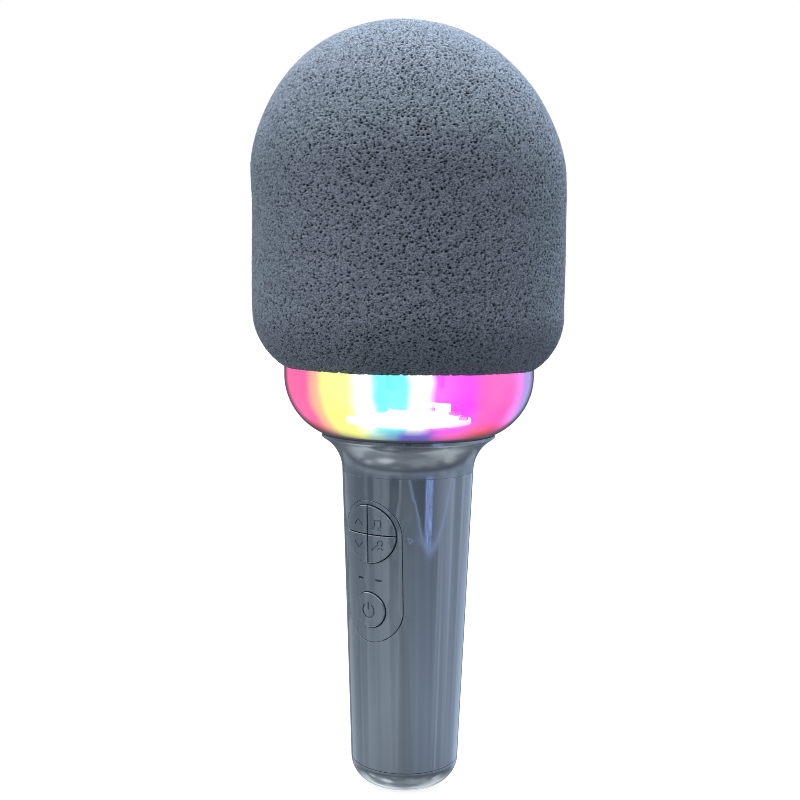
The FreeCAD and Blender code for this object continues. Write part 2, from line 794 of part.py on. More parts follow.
def neck_collar():
    """Flared collar with bosses for the light core, stubs for the sled and an index notch in its lip."""
    seat = HANDLE_TOP_Z + SEAM
    boss_r, boss_top, boss_hole = 2.8, CORE_Z - 0.1, 8.4
    stub_r, stub_height, stub_hole = 2.4, 6.0, 5.0
    notch_depth, notch_half_width = 0.6, 0.8
    root_z = WEB_Z + WEB_T - 0.5
    bosses = [rod(boss_r, root_z, boss_top, spot) for spot in CORE_SCREW_SPOTS]
    stubs = [rod(stub_r, root_z, WEB_Z + stub_height, spot) for spot in SLED_SCREW_SPOTS]
    body = joined([flared_shell()] + bosses + stubs)
    body = drilled(body, CORE_SCREW_SPOTS, pilot(CORE_SCREW), boss_top - boss_hole, boss_top)
    body = drilled(body, SLED_SCREW_SPOTS, pilot(SLED_SCREW), WEB_Z, WEB_Z + stub_hole)
    beyond_spigot = tube(40.0, SPIGOT_R, WEB_Z, seat)
    body = body.cut(beyond_spigot)
    notch = block(
        (COLLAR_R - notch_depth, COLLAR_R + 1.0),
        (-notch_half_width, notch_half_width),
        (COLLAR_TOP_Z - notch_depth, COLLAR_TOP_Z + 1.0),
    )
    notch.rotate(V(), UP, COLLAR_NOTCH_ANGLE)
    return body.cut(notch)


def handle_tube():
    """Tapered grip with a recessed ledge for the control panel."""
    low, high = HANDLE_FOOT_Z, HANDLE_TOP_Z
    shell = turned(
        (handle_radius(low), low),
        (handle_radius(high), high),
        (handle_radius(high) - HANDLE_WALL, high),
        (handle_radius(low) - HANDLE_WALL, low),
    )
    half = PANEL_HALF_WIDTH + PANEL_CLEARANCE
    recess = racetrack(half, PANEL_LOW_Z, PAD_Z).common(skin(1.0, -PANEL_T - 0.05))
    shell = shell.cut(recess)
    shell = softened(shell, 0.0, PANEL_EDGE_R, low + 10.0, high - 5.0)
    return shell.cut(racetrack(LEDGE_HALF_WIDTH, PANEL_LOW_Z, PAD_Z))


def end_cap():
    """Rounded foot with a spigot, a ledge for the charging board and a slot for the plug."""
    fillet_centre = (FOOT_R - FOOT_FILLET_R, FOOT_FILLET_R)
    spigot_r = FOOT_R - HANDLE_WALL - 0.15
    bead_r, bead_z = spigot_r + 0.2, 11.0
    ledge_r, bore_r = CHARGE_BOARD_R + 0.2, 12.0
    cap = turned(
        (0, 0),
        (fillet_centre[0], 0),
        bend(fillet_centre, FOOT_FILLET_R, -90, 0),
        (spigot_r, FOOT_FILLET_R),
        (spigot_r, bead_z),
        (bead_r, bead_z + 0.6),
        (bead_r, bead_z + 1.2),
        (spigot_r, bead_z + 1.8),
        (spigot_r, CAP_SPIGOT_TOP),
        (ledge_r, CAP_SPIGOT_TOP),
        (ledge_r, CAP_LEDGE_Z),
        (bore_r, CAP_LEDGE_Z),
        (bore_r, CAP_FLOOR_T + 3.3),
        (bore_r - 3.6, CAP_FLOOR_T),
        (0, CAP_FLOOR_T),
    )
    bosses = [rod(2.2, 1.0, CAP_LEDGE_Z, spot) for spot in CHARGE_SCREW_SPOTS]
    cap = joined([cap] + bosses)
    cap = drilled(cap, CHARGE_SCREW_SPOTS, pilot(CHARGE_SCREW), 4.0, CAP_LEDGE_Z)
    half_length, half_width = (half + 0.2 for half in SOCKET_HALF_SIZE)
    return cap.cut(slot_prism(half_length, half_width, -1.0, CAP_FLOOR_T + 1.0))


def slot_prism(half_length, half_width, low, high):
    """Prism along Z with half-round ends, long in X."""
    flat = half_length - half_width
    right = Part.Arc(V(flat, -half_width, low), V(half_length, 0, low), V(flat, half_width, low))
    left = Part.Arc(V(-flat, half_width, low), V(-half_length, 0, low), V(-flat, -half_width, low))
    front = Part.makeLine(V(-flat, -half_width, low), V(flat, -half_width, low))
    back = Part.makeLine(V(flat, half_width, low), V(-flat, half_width, low))
    wire = Part.Wire([front, right.toShape(), back, left.toShape()])
    return Part.Face(wire).extrude(V(0, 0, high - low))


def charge_board():
    """Round board across the end cap."""
    top = CAP_LEDGE_Z + CHARGE_BOARD_T
    board = rod(CHARGE_BOARD_R, CAP_LEDGE_Z, top)
    return drilled(board, CHARGE_SCREW_SPOTS, clear(CHARGE_SCREW), CAP_LEDGE_Z, top)


def charge_socket():
    """Shell and tongue of an upright reversible socket, hung from the charging board."""
    inner = [half - SOCKET_WALL for half in SOCKET_HALF_SIZE]
    well_top = CAP_LEDGE_Z - 1.4
    shell = slot_prism(*SOCKET_HALF_SIZE, SOCKET_Z, CAP_LEDGE_Z).cut(slot_prism(*inner, SOCKET_Z, well_top))
    tongue = block((-3.35, 3.35), (-0.35, 0.35), (SOCKET_Z + 1.0, well_top))
    return shell, tongue


# ---------------------------------------------------------------- controls
def lies_on_skin(edge, proud):
    """True for an edge that lies at a distance outside the handle's surface."""
    first, last = edge.FirstParameter, edge.LastParameter
    points = [edge.valueAt(p) for p in (first, (first + last) / 2, last)]
    return all(abs(math.hypot(p.x, p.y) - handle_radius(p.z) - proud) < 0.02 for p in points)


def softened(shape, proud, radius, low=HANDLE_FOOT_Z, high=HANDLE_TOP_Z):
    """Shape with its edges on the handle's skin rounded, between two heights."""
    edges = [e for e in shape.Edges if lies_on_skin(e, proud) and low < e.BoundBox.Center.z < high]
    return shape.makeFillet(radius, edges)


def key(prism, flange_prism, stem_at, icons):
    """Key cap with a retaining flange, a stem to its switch and an engraved symbol."""
    cap = prism.common(skin(KEY_PROUD, -FLANGE_OUT))
    cap = softened(cap, KEY_PROUD, KEY_EDGE_R)
    flange = flange_prism.common(skin(-FLANGE_IN, -FLANGE_OUT))
    stem = Part.makeCylinder(STEM_R, 6.0, V(stem_at[0], PLUNGER_TIP_Y, stem_at[1]), PRESS * -1)
    stem = stem.common(skin(-FLANGE_OUT + 0.4, -14.0))
    body = joined([cap, flange, stem])
    engraving = skin(KEY_PROUD + 1.0, KEY_PROUD - ICON_DEPTH)
    for icon in icons:
        body = body.cut(icon.common(engraving))
    return body


def quarter(radius, side_x, side_z):
    """Quarter of a round pad, short of its neighbours by half the gap."""
    half_gap = PAD_GAP / 2
    reach = radius + 1.0
    x = sorted((side_x * half_gap, side_x * reach))
    z = sorted((PAD_Z + side_z * half_gap, PAD_Z + side_z * reach))
    return round_prism(radius, PAD_Z).common(block(x, (PRISM_NEAR, PRISM_FAR), z))


def chevron(x, z, rise):
    """Chevron that points up or down."""
    return [stroke([(x - 1.7, z - rise / 2), (x, z + rise / 2), (x + 1.7, z - rise / 2)])]


def note_icon(x, z):
    """Two notes under one beam."""
    head_r, head_z, line = 0.62, z - 1.2, 0.4
    left, right, left_top, right_top = x - 0.78, x + 1.3, z + 1.15, z + 1.45
    heads = [round_prism(head_r, head_z, stem_x - 0.46) for stem_x in (left, right)]
    stems = stroke([(left, head_z), (left, left_top), (right, right_top), (right, head_z)], line)
    return heads + [stems]


def sing_icon(x, z):
    """Slanted microphone with two sparkles."""
    grip = stroke([(x - 1.7, z - 1.4), (x + 0.35, z + 0.25)], 0.62)
    ball = arc_stroke(x + 1.0, z + 0.75, 0.8, -60, 230, 0.42)
    sparks = [stroke([(x + 0.2, z - 1.1), (x + 0.75, z - 0.75)], 0.34)]
    sparks.append(stroke([(x + 1.35, z - 0.75), (x + 1.75, z - 1.15)], 0.34))
    return [grip, ball] + sparks


def power_icon(z):
    """Open ring with a bar at its gap."""
    return [arc_stroke(0, z - 0.15, 2.15, 122, 418), stroke([(0, z + 0.35), (0, z + 2.35)])]


def control_keys():
    """Four keys that share one round pad, and the power key. Each has a key and a switch plunger."""
    offset = PAD_SWITCH_OFFSET
    keys = {
        "volume_up": (-1, 1, chevron(-3.5, PAD_Z + 3.5, 1.7)),
        "volume_down": (-1, -1, chevron(-3.5, PAD_Z - 3.6, -1.7)),
        "mode": (1, 1, note_icon(3.5, PAD_Z + 3.3)),
        "voice": (1, -1, sing_icon(3.5, PAD_Z - 3.2)),
    }
    spots = []
    for name, (sx, sz, icons) in keys.items():
        spot = (sx * offset, PAD_Z + sz * offset)
        flange = quarter(PAD_R + PAD_FLANGE_LIP, sx, sz)
        add(name + "_key", key(quarter(PAD_R, sx, sz), flange, spot, icons))
        add(name + "_plunger", plunger(spot))
        spots.append(spot)
    spot = (0.0, POWER_Z)
    flange = round_prism(POWER_R + POWER_FLANGE_LIP, POWER_Z)
    add("power_key", key(round_prism(POWER_R, POWER_Z), flange, spot, power_icon(POWER_Z)))
    add("power_plunger", plunger(spot))
    spots.append(spot)
    add("switch_bodies", *[switch_body(spot) for spot in spots])


def plunger(spot):
    """Actuator of a tactile switch, from inside its body to the key's stem."""
    return Part.makeCylinder(PLUNGER_R, PLUNGER_OUT + PLUNGER_IN, V(spot[0], PLUNGER_TIP_Y, spot[1]), PRESS)


def switch_body(spot):
    """Tactile switch body with a blind well for its plunger."""
    x, z = spot
    half = SWITCH_SIZE / 2
    front = BOARD_FRONT_Y - SWITCH_T
    body = block((x - half, x + half), (front, BOARD_FRONT_Y), (z - half, z + half))
    well = Part.makeCylinder(PLUNGER_R + 0.05, PLUNGER_IN + 0.45, V(x, front, z), PRESS)
    return body.cut(well)


def control_panel():
    """Curved racetrack plate, flush with the handle."""
    plate = racetrack(PANEL_HALF_WIDTH, PANEL_LOW_Z, PAD_Z).common(skin(0.0, -PANEL_T))
    pad_hole = round_prism(PAD_R + KEY_CLEARANCE, PAD_Z)
    power_hole = round_prism(POWER_R + KEY_CLEARANCE, POWER_Z)
    plate = plate.cut([pad_hole, power_hole])
    plate = softened(plate, 0.0, PANEL_EDGE_R)
    for side in (-1, 1):
        plate = plate.cut(slot_window(side, 0.0))
    return plate


def slot_window(side, shrink):
    """Prism along Y of one indicator slot."""
    half = SLOT_SIZE[0] / 2 - SLOT_SIZE[1] / 2
    x = side * SLOT_X
    return stroke([(x - half, SLOT_Z), (x + half, SLOT_Z)], SLOT_SIZE[1] - 2 * shrink)


def indicator_lenses():
    """Smoked light pipes that fill the two slots."""
    return [slot_window(side, 0.04).common(skin(-0.12, -4.0)) for side in (-1, 1)]


# ---------------------------------------------------------------- inside the handle
def main_board():
    """Circuit board behind the keys."""
    board = block((-BOARD_HALF_WIDTH, BOARD_HALF_WIDTH), (BOARD_FRONT_Y, BOARD_BACK_Y), BOARD_Z)
    for x, z in BOARD_SCREW_SPOTS:
        hole = Part.makeCylinder(clear(BOARD_SCREW), 3.0, V(x, BOARD_FRONT_Y - 1.0, z), PRESS)
        board = board.cut(hole)
    return board


def board_chips():
    """Packages on the front of the board: (centre x, centre z, width, height, thickness)."""
    packages = (
        (0.0, 40.5, 9.0, 9.0, 1.1),
        (-4.5, 29.5, 5.0, 5.0, 0.9),
        (4.0, 30.0, 4.0, 4.0, 0.9),
        (7.2, 39.6, 1.6, 3.2, 0.8),
        (-7.2, 39.6, 1.6, 3.2, 0.8),
    )
    return [
        block(
            (x - width / 2, x + width / 2),
            (BOARD_FRONT_Y - thickness, BOARD_FRONT_Y),
            (z - height / 2, z + height / 2),
        )
        for x, z, width, height, thickness in packages
    ]


def indicator_leds():
    """One LED behind each slot."""
    half_width, half_height, thickness = 1.0, 0.6, 1.0
    return [
        block(
            (side * SLOT_X - half_width, side * SLOT_X + half_width),
            (BOARD_FRONT_Y - thickness, BOARD_FRONT_Y),
            (SLOT_Z - half_height, SLOT_Z + half_height),
        )
        for side in (-1, 1)
    ]


def cable_headers():
    """Headers on the back of the board, each open to its side."""
    solids = []
    for side, z in HEADERS.values():
        x = sorted((side * HEADER_X, side * (HEADER_X - HEADER_SIZE)))
        y = (BOARD_BACK_Y, BOARD_BACK_Y + HEADER_T)
        solids.append(block(x, y, (z - HEADER_SIZE / 2, z + HEADER_SIZE / 2)))
    return solids


def inner_sled():
    """Carrier for the board and the cell: spine, end plates, cradles and standoffs."""
    low, high = SLED_FOOT_Z, SLED_HEAD_Z
    standoff_r, standoff_end, boss_r = 2.0, SPINE_Y[0] + 0.9, 2.4
    cradle_zs, cradle_height, cradle_wall, cradle_mouth_y = (38.0, 66.0), 3.0, 1.6, 9.0
    cable_hole_r, side_notches, notch_r = 5.6, [(-13.0, -3.0), (13.0, -3.0)], 3.0
    spine = block((-SPINE_HALF_WIDTH, SPINE_HALF_WIDTH), SPINE_Y, (low + 0.8, high + 1.0))
    foot = rod(SLED_FOOT_R, low, low + SLED_PLATE_T - 0.2)
    head = rod(SLED_HEAD_R, high, high + SLED_PLATE_T)
    shapes = [spine, foot, head]
    for z in cradle_zs:
        bore_r = CELL_R + 0.2
        cradle = tube(bore_r + cradle_wall, bore_r, z, z + cradle_height, (0, CELL_Y))
        mouth = block((-20.0, 20.0), (cradle_mouth_y, 30.0), (z - 1.0, z + cradle_height + 1.0))
        shapes.append(cradle.cut(mouth))
    for x, z in BOARD_SCREW_SPOTS:
        reach = standoff_end - BOARD_BACK_Y
        shapes.append(Part.makeCylinder(standoff_r, reach, V(x, BOARD_BACK_Y, z), PRESS))
    shapes += [rod(boss_r, high + 1.5, WEB_Z - 0.05, spot) for spot in SLED_SCREW_SPOTS]
    sled = joined(shapes)
    for x, z in BOARD_SCREW_SPOTS:
        sled = sled.cut(Part.makeCylinder(pilot(BOARD_SCREW), 4.6, V(x, BOARD_BACK_Y - 0.1, z), PRESS))
    sled = drilled(sled, SLED_SCREW_SPOTS, clear(SLED_SCREW), high - 1.0, WEB_Z + 1.0)
    sled = drilled(sled, [(0, 0)], cable_hole_r, high - 0.5, high + 2.5)
    return drilled(sled, side_notches, notch_r, low - 0.2, low + 2.3)


def battery_cell():
    """Wrapped round lithium cell with a rolled groove and a raised positive end."""
    high = CELL_TOP
    groove_z, groove_depth = high - 2.7, 0.35
    button_r, button_height = 3.2, 0.6
    cell = turned(
        (0, CELL_Z),
        (CELL_R - 0.6, CELL_Z),
        (CELL_R, CELL_Z + 0.5),
        (CELL_R, groove_z - 0.5),
        (CELL_R - groove_depth, groove_z),
        (CELL_R, groove_z + 0.5),
        (CELL_R, high - 1.0),
        (CELL_R - 0.6, high - button_height),
        (button_r + 0.2, high - button_height),
        (button_r, high),
        (0, high),
    )
    cell.translate(V(0, CELL_Y, 0))
    return cell


# ---------------------------------------------------------------- cables
def plug(header):
    """Last stops of a cable that enters its header from the side."""
    side, z = HEADERS[header]
    y = BOARD_BACK_Y + HEADER_T / 2
    return [(side * (HEADER_X + 1.5), y, z), (side * (HEADER_X + 0.05), y, z)]


def side_run(header):
    """Stops from the hole in the sled's head, round the cell's end, to one of the top headers."""
    side = HEADERS[header][0]
    return [(side * 6.0, -1.2, 88.4), (side * 11.3, -3.2, 85.6), (side * 13.4, -6.2, 80.2)] + plug(header)


def mic_cable():
    """From the capsule, down inside the dome, under the speaker and through the column."""
    top = CAPSULE_BACK - 0.1
    stops = [
        (0, 0, top),
        (0, 0, top - 3),
        (0, 1.2, top - 8),
        (0, 9, top - 17),
        (0, 26, top - 34),
        (0, CABLE_LANE_Y, top - 52),
        (0, CABLE_LANE_Y, CABLE_LANE_Z),
        (0, 3.6, CABLE_LANE_Z),
        (2.0, 2.6, TRAY_Z - 1),
        (2.2, 0.4, LED_BOARD_Z + 1.7),
        (2.2, 0, HANDLE_TOP_Z + 1),
        (2.2, 0, SLED_HEAD_Z + 1.5),
    ]
    return cable(stops + side_run("mic"))


def speaker_cable():
    """From the basket's tab, past the magnet, along the tray's floor and through the column."""
    stops = [
        (-20.1, 0, SPEAKER_Z + 14.1),
        (-20.1, 0, SPEAKER_Z + 11),
        (-19.6, 0, SPEAKER_Z + 7),
        (-19.0, 0, SPEAKER_Z + 1),
        (-14, 0, CABLE_LANE_Z),
        (-7.5, 0, CABLE_LANE_Z),
        (-3.9, 0, CABLE_LANE_Z - 1),
        (-2.8, -0.3, TRAY_Z - 0.5),
        (-2.6, -0.6, TRAY_Z - 8),
        (-2.4, -0.6, COLLAR_TOP_Z - 2.8),
        (-2.2, 0, SLED_HEAD_Z + 1.5),
    ]
    return cable(stops + side_run("speaker"))


def led_cable():
    """From the ring's connector, down through the reflector and beside the cell."""
    exit_z = LED_BOARD_Z + 2.9
    stops = [
        (0, 14.1, exit_z),
        (0, LED_CABLE_Y, exit_z),
        (0, LED_CABLE_Y, CORE_Z - 1.5),
        (0, 7.0, CORE_Z - 9.5),
        (0, 3.4, WEB_Z + 3),
        (0.6, 3.0, SLED_HEAD_Z + 1.5),
        (5.0, 2.6, 88.2),
        (11.2, 0.5, 83.0),
        (13.3, -3.4, 74.0),
        (12.9, -8.0, 63.5),
    ]
    return cable(stops + plug("led"))


def battery_cable():
    """From the cell's positive end, over its shoulder and down its side."""
    stops = [
        (0, CELL_Y, CELL_TOP + 0.05),
        (0, CELL_Y, CELL_TOP + 1.4),
        (-2.4, CELL_Y - 0.4, CELL_TOP + 2.8),
        (-8.2, 2.6, CELL_TOP + 2.6),
        (-12.4, 0.0, 80.5),
        (-13.2, -3.2, 70.0),
        (-13.2, -5.6, 56.0),
        (-12.9, -8.2, 47.5),
    ]
    return cable(stops + plug("cell"))


def charge_cable():
    """From the charging board, through the notch of the sled's foot."""
    start_z = CAP_LEDGE_Z + CHARGE_BOARD_T + 0.05
    stops = [
        (9.6, -3.0, start_z),
        (9.6, -3.0, start_z + 1.35),
        (11.6, -3.2, 15.2),
        (12.6, -3.8, 20.0),
        (12.8, -6.0, 30.0),
        (12.6, -8.2, 34.8),
    ]
    return cable(stops + plug("charge"))


# ---------------------------------------------------------------- assembly
def head():
    add("foam_windscreen", foam_windscreen())
    add("grille_cage", grille_cage())
    add("mic_boot", mic_boot())
    add("mic_capsule", mic_capsule())
    add("speaker_tray", speaker_tray())
    add("tray_screws", *screws(TRAY_SCREW_SPOTS, TRAY_Z + TRAY_T - 0.8, DOWN, TRAY_SCREW))


def speaker():
    yoke, magnet, top_plate = speaker_motor()
    add("speaker_yoke", yoke)
    add("speaker_magnet", magnet)
    add("speaker_top_plate", top_plate)
    add("speaker_basket", speaker_basket())
    add("speaker_cone", speaker_cone())
    add("cone_surround", cone_surround())
    add("cone_spider", cone_spider())
    add("dust_cap", dust_cap())
    add("voice_coil", voice_coil())
    add("speaker_gasket", speaker_gasket())
    seat = SPEAKER_FLANGE_Z + SPEAKER_FLANGE_T
    add("speaker_screws", *screws(SPEAKER_SCREW_SPOTS, seat, DOWN, SPEAKER_SCREW))


def light_ring():
    add("light_diffuser", light_diffuser())
    add("light_core", light_core())
    add("led_board", led_board())
    add("rgb_leds", *rgb_leds())
    add("led_connector", led_connector())
    add("led_board_screws", *screws(LED_SCREW_SPOTS, LED_BOARD_Z + LED_BOARD_T, DOWN, LED_SCREW))
    add("core_screws", *screws(CORE_SCREW_SPOTS, CORE_Z + 0.5, DOWN, CORE_SCREW))


def casing():
    add("neck_collar", neck_collar())
    add("handle_tube", handle_tube())
    add("control_panel", control_panel())
    add("indicator_lenses", *indicator_lenses())
    control_keys()
    add("end_cap", end_cap())


def electronics():
    add("main_board", main_board())
    add("board_chips", *board_chips())
    add("indicator_leds", *indicator_leds())
    add("cable_headers", *cable_headers())
    board_screws = [screw(V(x, BOARD_FRONT_Y, z), PRESS, BOARD_SCREW) for x, z in BOARD_SCREW_SPOTS]
    add("board_screws", *board_screws)
    add("inner_sled", inner_sled())
    add("sled_screws", *screws(SLED_SCREW_SPOTS, SLED_HEAD_Z, UP, SLED_SCREW))
    add("battery_cell", battery_cell())
    add("charge_board", charge_board())
    shell, tongue = charge_socket()
    add("charge_socket_shell", shell)
    add("charge_socket_tongue", tongue)
    charge_seat = CAP_LEDGE_Z + CHARGE_BOARD_T
    add("charge_board_screws", *screws(CHARGE_SCREW_SPOTS, charge_seat, DOWN, CHARGE_SCREW))


def cables():
    add("mic_cable", mic_cable())
    add("speaker_cable", speaker_cable())
    add("led_cable", led_cable())
    add("battery_cable", battery_cable())
    add("charge_cable", charge_cable())


def write():
    os.makedirs("parts", exist_ok=True)
    for name, solids in PARTS.items():
        shape = solids[0] if len(solids) == 1 else Part.makeCompound(solids)
        shape.exportStep("parts/" + name + ".step")


head()
speaker()
light_ring()
casing()
electronics()
cables()
write()
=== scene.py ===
"""Looks of the toy microphone: foam dome, glowing light ring, glossy slate grip and the parts inside."""

import math
import random

import bpy
from mathutils import Euler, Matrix, Vector, kdtree, noise


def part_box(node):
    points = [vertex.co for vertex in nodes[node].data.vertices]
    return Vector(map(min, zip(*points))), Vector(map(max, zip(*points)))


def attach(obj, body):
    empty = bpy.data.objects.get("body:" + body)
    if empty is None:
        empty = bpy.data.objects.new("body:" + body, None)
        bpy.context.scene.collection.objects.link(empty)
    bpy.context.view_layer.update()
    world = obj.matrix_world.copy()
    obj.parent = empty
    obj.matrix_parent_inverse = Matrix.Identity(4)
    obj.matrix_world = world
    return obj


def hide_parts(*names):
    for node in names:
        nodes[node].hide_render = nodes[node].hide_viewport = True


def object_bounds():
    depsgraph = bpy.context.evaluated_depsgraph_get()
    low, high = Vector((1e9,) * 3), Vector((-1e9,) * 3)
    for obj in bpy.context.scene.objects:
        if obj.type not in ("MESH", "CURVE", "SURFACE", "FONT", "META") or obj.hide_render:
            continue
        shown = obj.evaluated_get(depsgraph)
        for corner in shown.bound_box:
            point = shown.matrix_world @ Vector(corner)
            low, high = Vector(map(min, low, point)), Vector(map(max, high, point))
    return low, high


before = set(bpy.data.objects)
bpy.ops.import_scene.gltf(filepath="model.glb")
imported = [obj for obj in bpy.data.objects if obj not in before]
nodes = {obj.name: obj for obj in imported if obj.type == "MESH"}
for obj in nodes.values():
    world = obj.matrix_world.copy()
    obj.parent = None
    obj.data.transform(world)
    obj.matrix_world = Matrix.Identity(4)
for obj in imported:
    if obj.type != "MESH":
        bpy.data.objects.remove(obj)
cad_low, cad_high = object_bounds()

MM = 0.001
KEYS = ("volume_up", "volume_down", "mode", "voice", "power")

# ---------------------------------------------------------------- sizes taken from the frame
foam_low, foam_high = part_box("foam_windscreen")
ring_low, ring_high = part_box("light_diffuser")
cage_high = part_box("grille_cage")[1]
board_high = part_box("led_board")[1]
collar_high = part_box("neck_collar")[1]

HEAD_R = foam_high.x
HEAD_TOP = foam_high.z
DOME_Z = HEAD_TOP - HEAD_R

# ---------------------------------------------------------------- foam: outline
CAGE_GAP = 0.4 * MM
RING_GAP = 0.3 * MM
CAVITY_R = cage_high.x + CAGE_GAP
MOUTH_R = ring_high.x + RING_GAP
FOAM_SKIRT_R = 18 * MM
# The foam's mouth is wider over this height, where it sits on the light ring.
SEAT_HEIGHT = 6 * MM
SEAT_SLOPE = 1 * MM
FOAM_STEP = 0.34 * MM
LINING_STEP = 3 * MM

# ---------------------------------------------------------------- foam: how it has sagged in use
FOAM_SHRINK = 0.3 * MM
FOAM_LEAN_FROM = HEAD_TOP - 55 * MM
FOAM_LEAN = 0.6 * MM
FOAM_LEAN_SLOPE = 0.044
SHOULDER_SHRINK = 0.8 * MM
SHOULDER_FROM = FOAM_LEAN_FROM + 8 * MM
SHOULDER_RISE = 22 * MM
MOUTH_SAG = 1.15 * MM
MOUTH_UNEVEN = 0.35 * MM
MOUTH_SAG_RISE = 16 * MM

# ---------------------------------------------------------------- foam: pores and unevenness
PORE_SEED = 7
NOISE_SEED = 7
PORE_TRIES_PER_MM2 = 0.95
PORE_R = (0.27 * MM, 0.62 * MM)
PORE_FEW_LARGE = 1.6
PORE_GAP = 0.12 * MM
PORE_SQUAT = 1.65
PORE_DEPTH = 0.70 * MM
PORE_STEEPNESS = 1.5
PORE_RAGGED = 0.26 * MM
RAGGED_PER_METRE = 900
FOAM_GRAIN = 0.14 * MM
GRAIN_PER_METRE = 1300
FOAM_LUMPS = 0.30 * MM
LUMPS_PER_METRE = 45
LINING_PORE = 0.25
WORMS_PER_METRE = 2600.0
PITS_PER_METRE = 1150.0
PIT_SQUAT = 1.6
FINE_RELIEF = 0.30 * MM

# ---------------------------------------------------------------- casing, ring and lit parts
# Height of the painted shadow band at the collar's top, under the light ring, and its soft edge.
LIP_HEIGHT = 1.35 * MM
LIP_FADE = 0.25 * MM
# Radius of the rounding seen on edges, whose paler tone is partly wear and partly a painted highlight.
WORN_AND_LIT_EDGE_R = 0.25 * MM
# Reach of the ambient occlusion that paints shade into recesses.
GROOVE_REACH = 0.7 * MM
RING_GLOW_RISE = 8 * MM
# Lit parts shed this much light, and to the camera alone they look brighter by the second value.
LIT_SHED = 2.0
LIT_LOOK = 12.0
LIT_FADE = 1.2 * MM
LIT_NEAR = (5.0 * MM, 9.0 * MM)
LIT_CORE_Z = (board_high.z - 0.2 * MM, board_high.z + 2.0 * MM)

# ---------------------------------------------------------------- camera
# How far the camera stands round from the front, and its place and turns from there.
CAMERA_AZIMUTH = math.radians(36.2)
CAMERA_DISTANCE = 0.350
CAMERA_ASIDE = -0.00275
CAMERA_HEIGHT = 0.1554
CAMERA_PITCH = math.radians(-5.27)
CAMERA_ROLL = math.radians(0.67)
CAMERA_LENS = 50
CAMERA_SENSOR = 36
CAMERA_NEAREST = 0.01
RIGHT = Vector((math.cos(CAMERA_AZIMUTH), math.sin(CAMERA_AZIMUTH), 0))
AWAY = Vector((-math.sin(CAMERA_AZIMUTH), math.cos(CAMERA_AZIMUTH), 0))
# Angle round the axis of the side that faces the camera.
TOWARD_CAMERA = CAMERA_AZIMUTH - math.pi / 2

# ---------------------------------------------------------------- surroundings, seen in glossy surfaces
# A direction is given in degrees to the camera's right and as the z of a unit vector (-1 is down).
COOL = (0.82, 0.96, 1.09)
# Each stripe is (degrees where it starts, brightness), first at eye level and then lower down.
LEVEL_STRIPES = (
    (-180, 0.2), (-150, 0.45), (-110, 0.38), (-84, 0.7), (-76, 0.35), (-64, 1.15), (-50, 0.85),
    (-47, 1.2), (-33, 0.25), (-16, 1.7), (-12, 0.65), (58, 1.95), (90, 1.2), (120, 0.85), (155, 0.25),
)
LOW_STRIPES = (
    (-180, 0.3), (-150, 0.85), (-104, 1.35), (-84, 1.9), (-70, 2.0), (-54, 2.15), (-33, 2.2),
    (-16, 1.85), (10, 1.85), (57, 1.8), (62, 1.45), (66, 2.7), (70, 1.6), (92, 1.2), (112, 1.0),
    (155, 0.3),
)
STRIPE_EDGE = 2.0
LOW_FROM_Z = -0.24
LOW_OVER_Z = 0.22
BLUER_DEGREES = (-4.0, 25.0)
BLUER = (0.94, 1.0, 1.16)
PANES_PER_Z = 2.5
PANES_PER_TURN = 19.0
# A darker wedge widens downwards: (degrees where it starts, degrees it gains on the way down).
WEDGE = (-14.0, 30.0)
WEDGE_SHADE = 0.82
ARCH_CENTRE = 39.5
ARCH_HALF_WIDTH = 40.5
ARCH_APEX_Z = -0.293
ARCH_RISE = 0.067
ARCH_OUTLINE_SHARPNESS = 9.0
HANGING_LAMP_DEGREES = (31.5, 45.0)
HANGING_LAMP_BLUR = 1.5
BLOTCHES_PER_Z = 90.0
CEILING_Z = (0.30, 0.50)
UNDER_EDGE_Z = (-0.42, -0.54)
TABLE_Z = (-0.58, -0.80)
# Each soft lamp on the table is (degrees, z, radius in degrees, brightness).
LAMPS_BELOW = (
    (-86, -0.67, 9, 5.0),
    (-55, -0.86, 11, 5.0),
    (-23, -0.63, 7, 3.6),
    (92, -0.73, 9, 3.6),
    (106, -0.80, 9, 2.6),
    (-118, -0.70, 9, 2.6),
)
LAMP_CORE = 0.4
LIGHTS_AIM_Z = 0.65 * HEAD_TOP
SKY_TINT = (0.75, 0.88, 1.0)
RIM_TINT = (0.75, 0.86, 1.0)
FLOOR_HALF = 3.0
FLOOR_DROP = 0.05 * MM


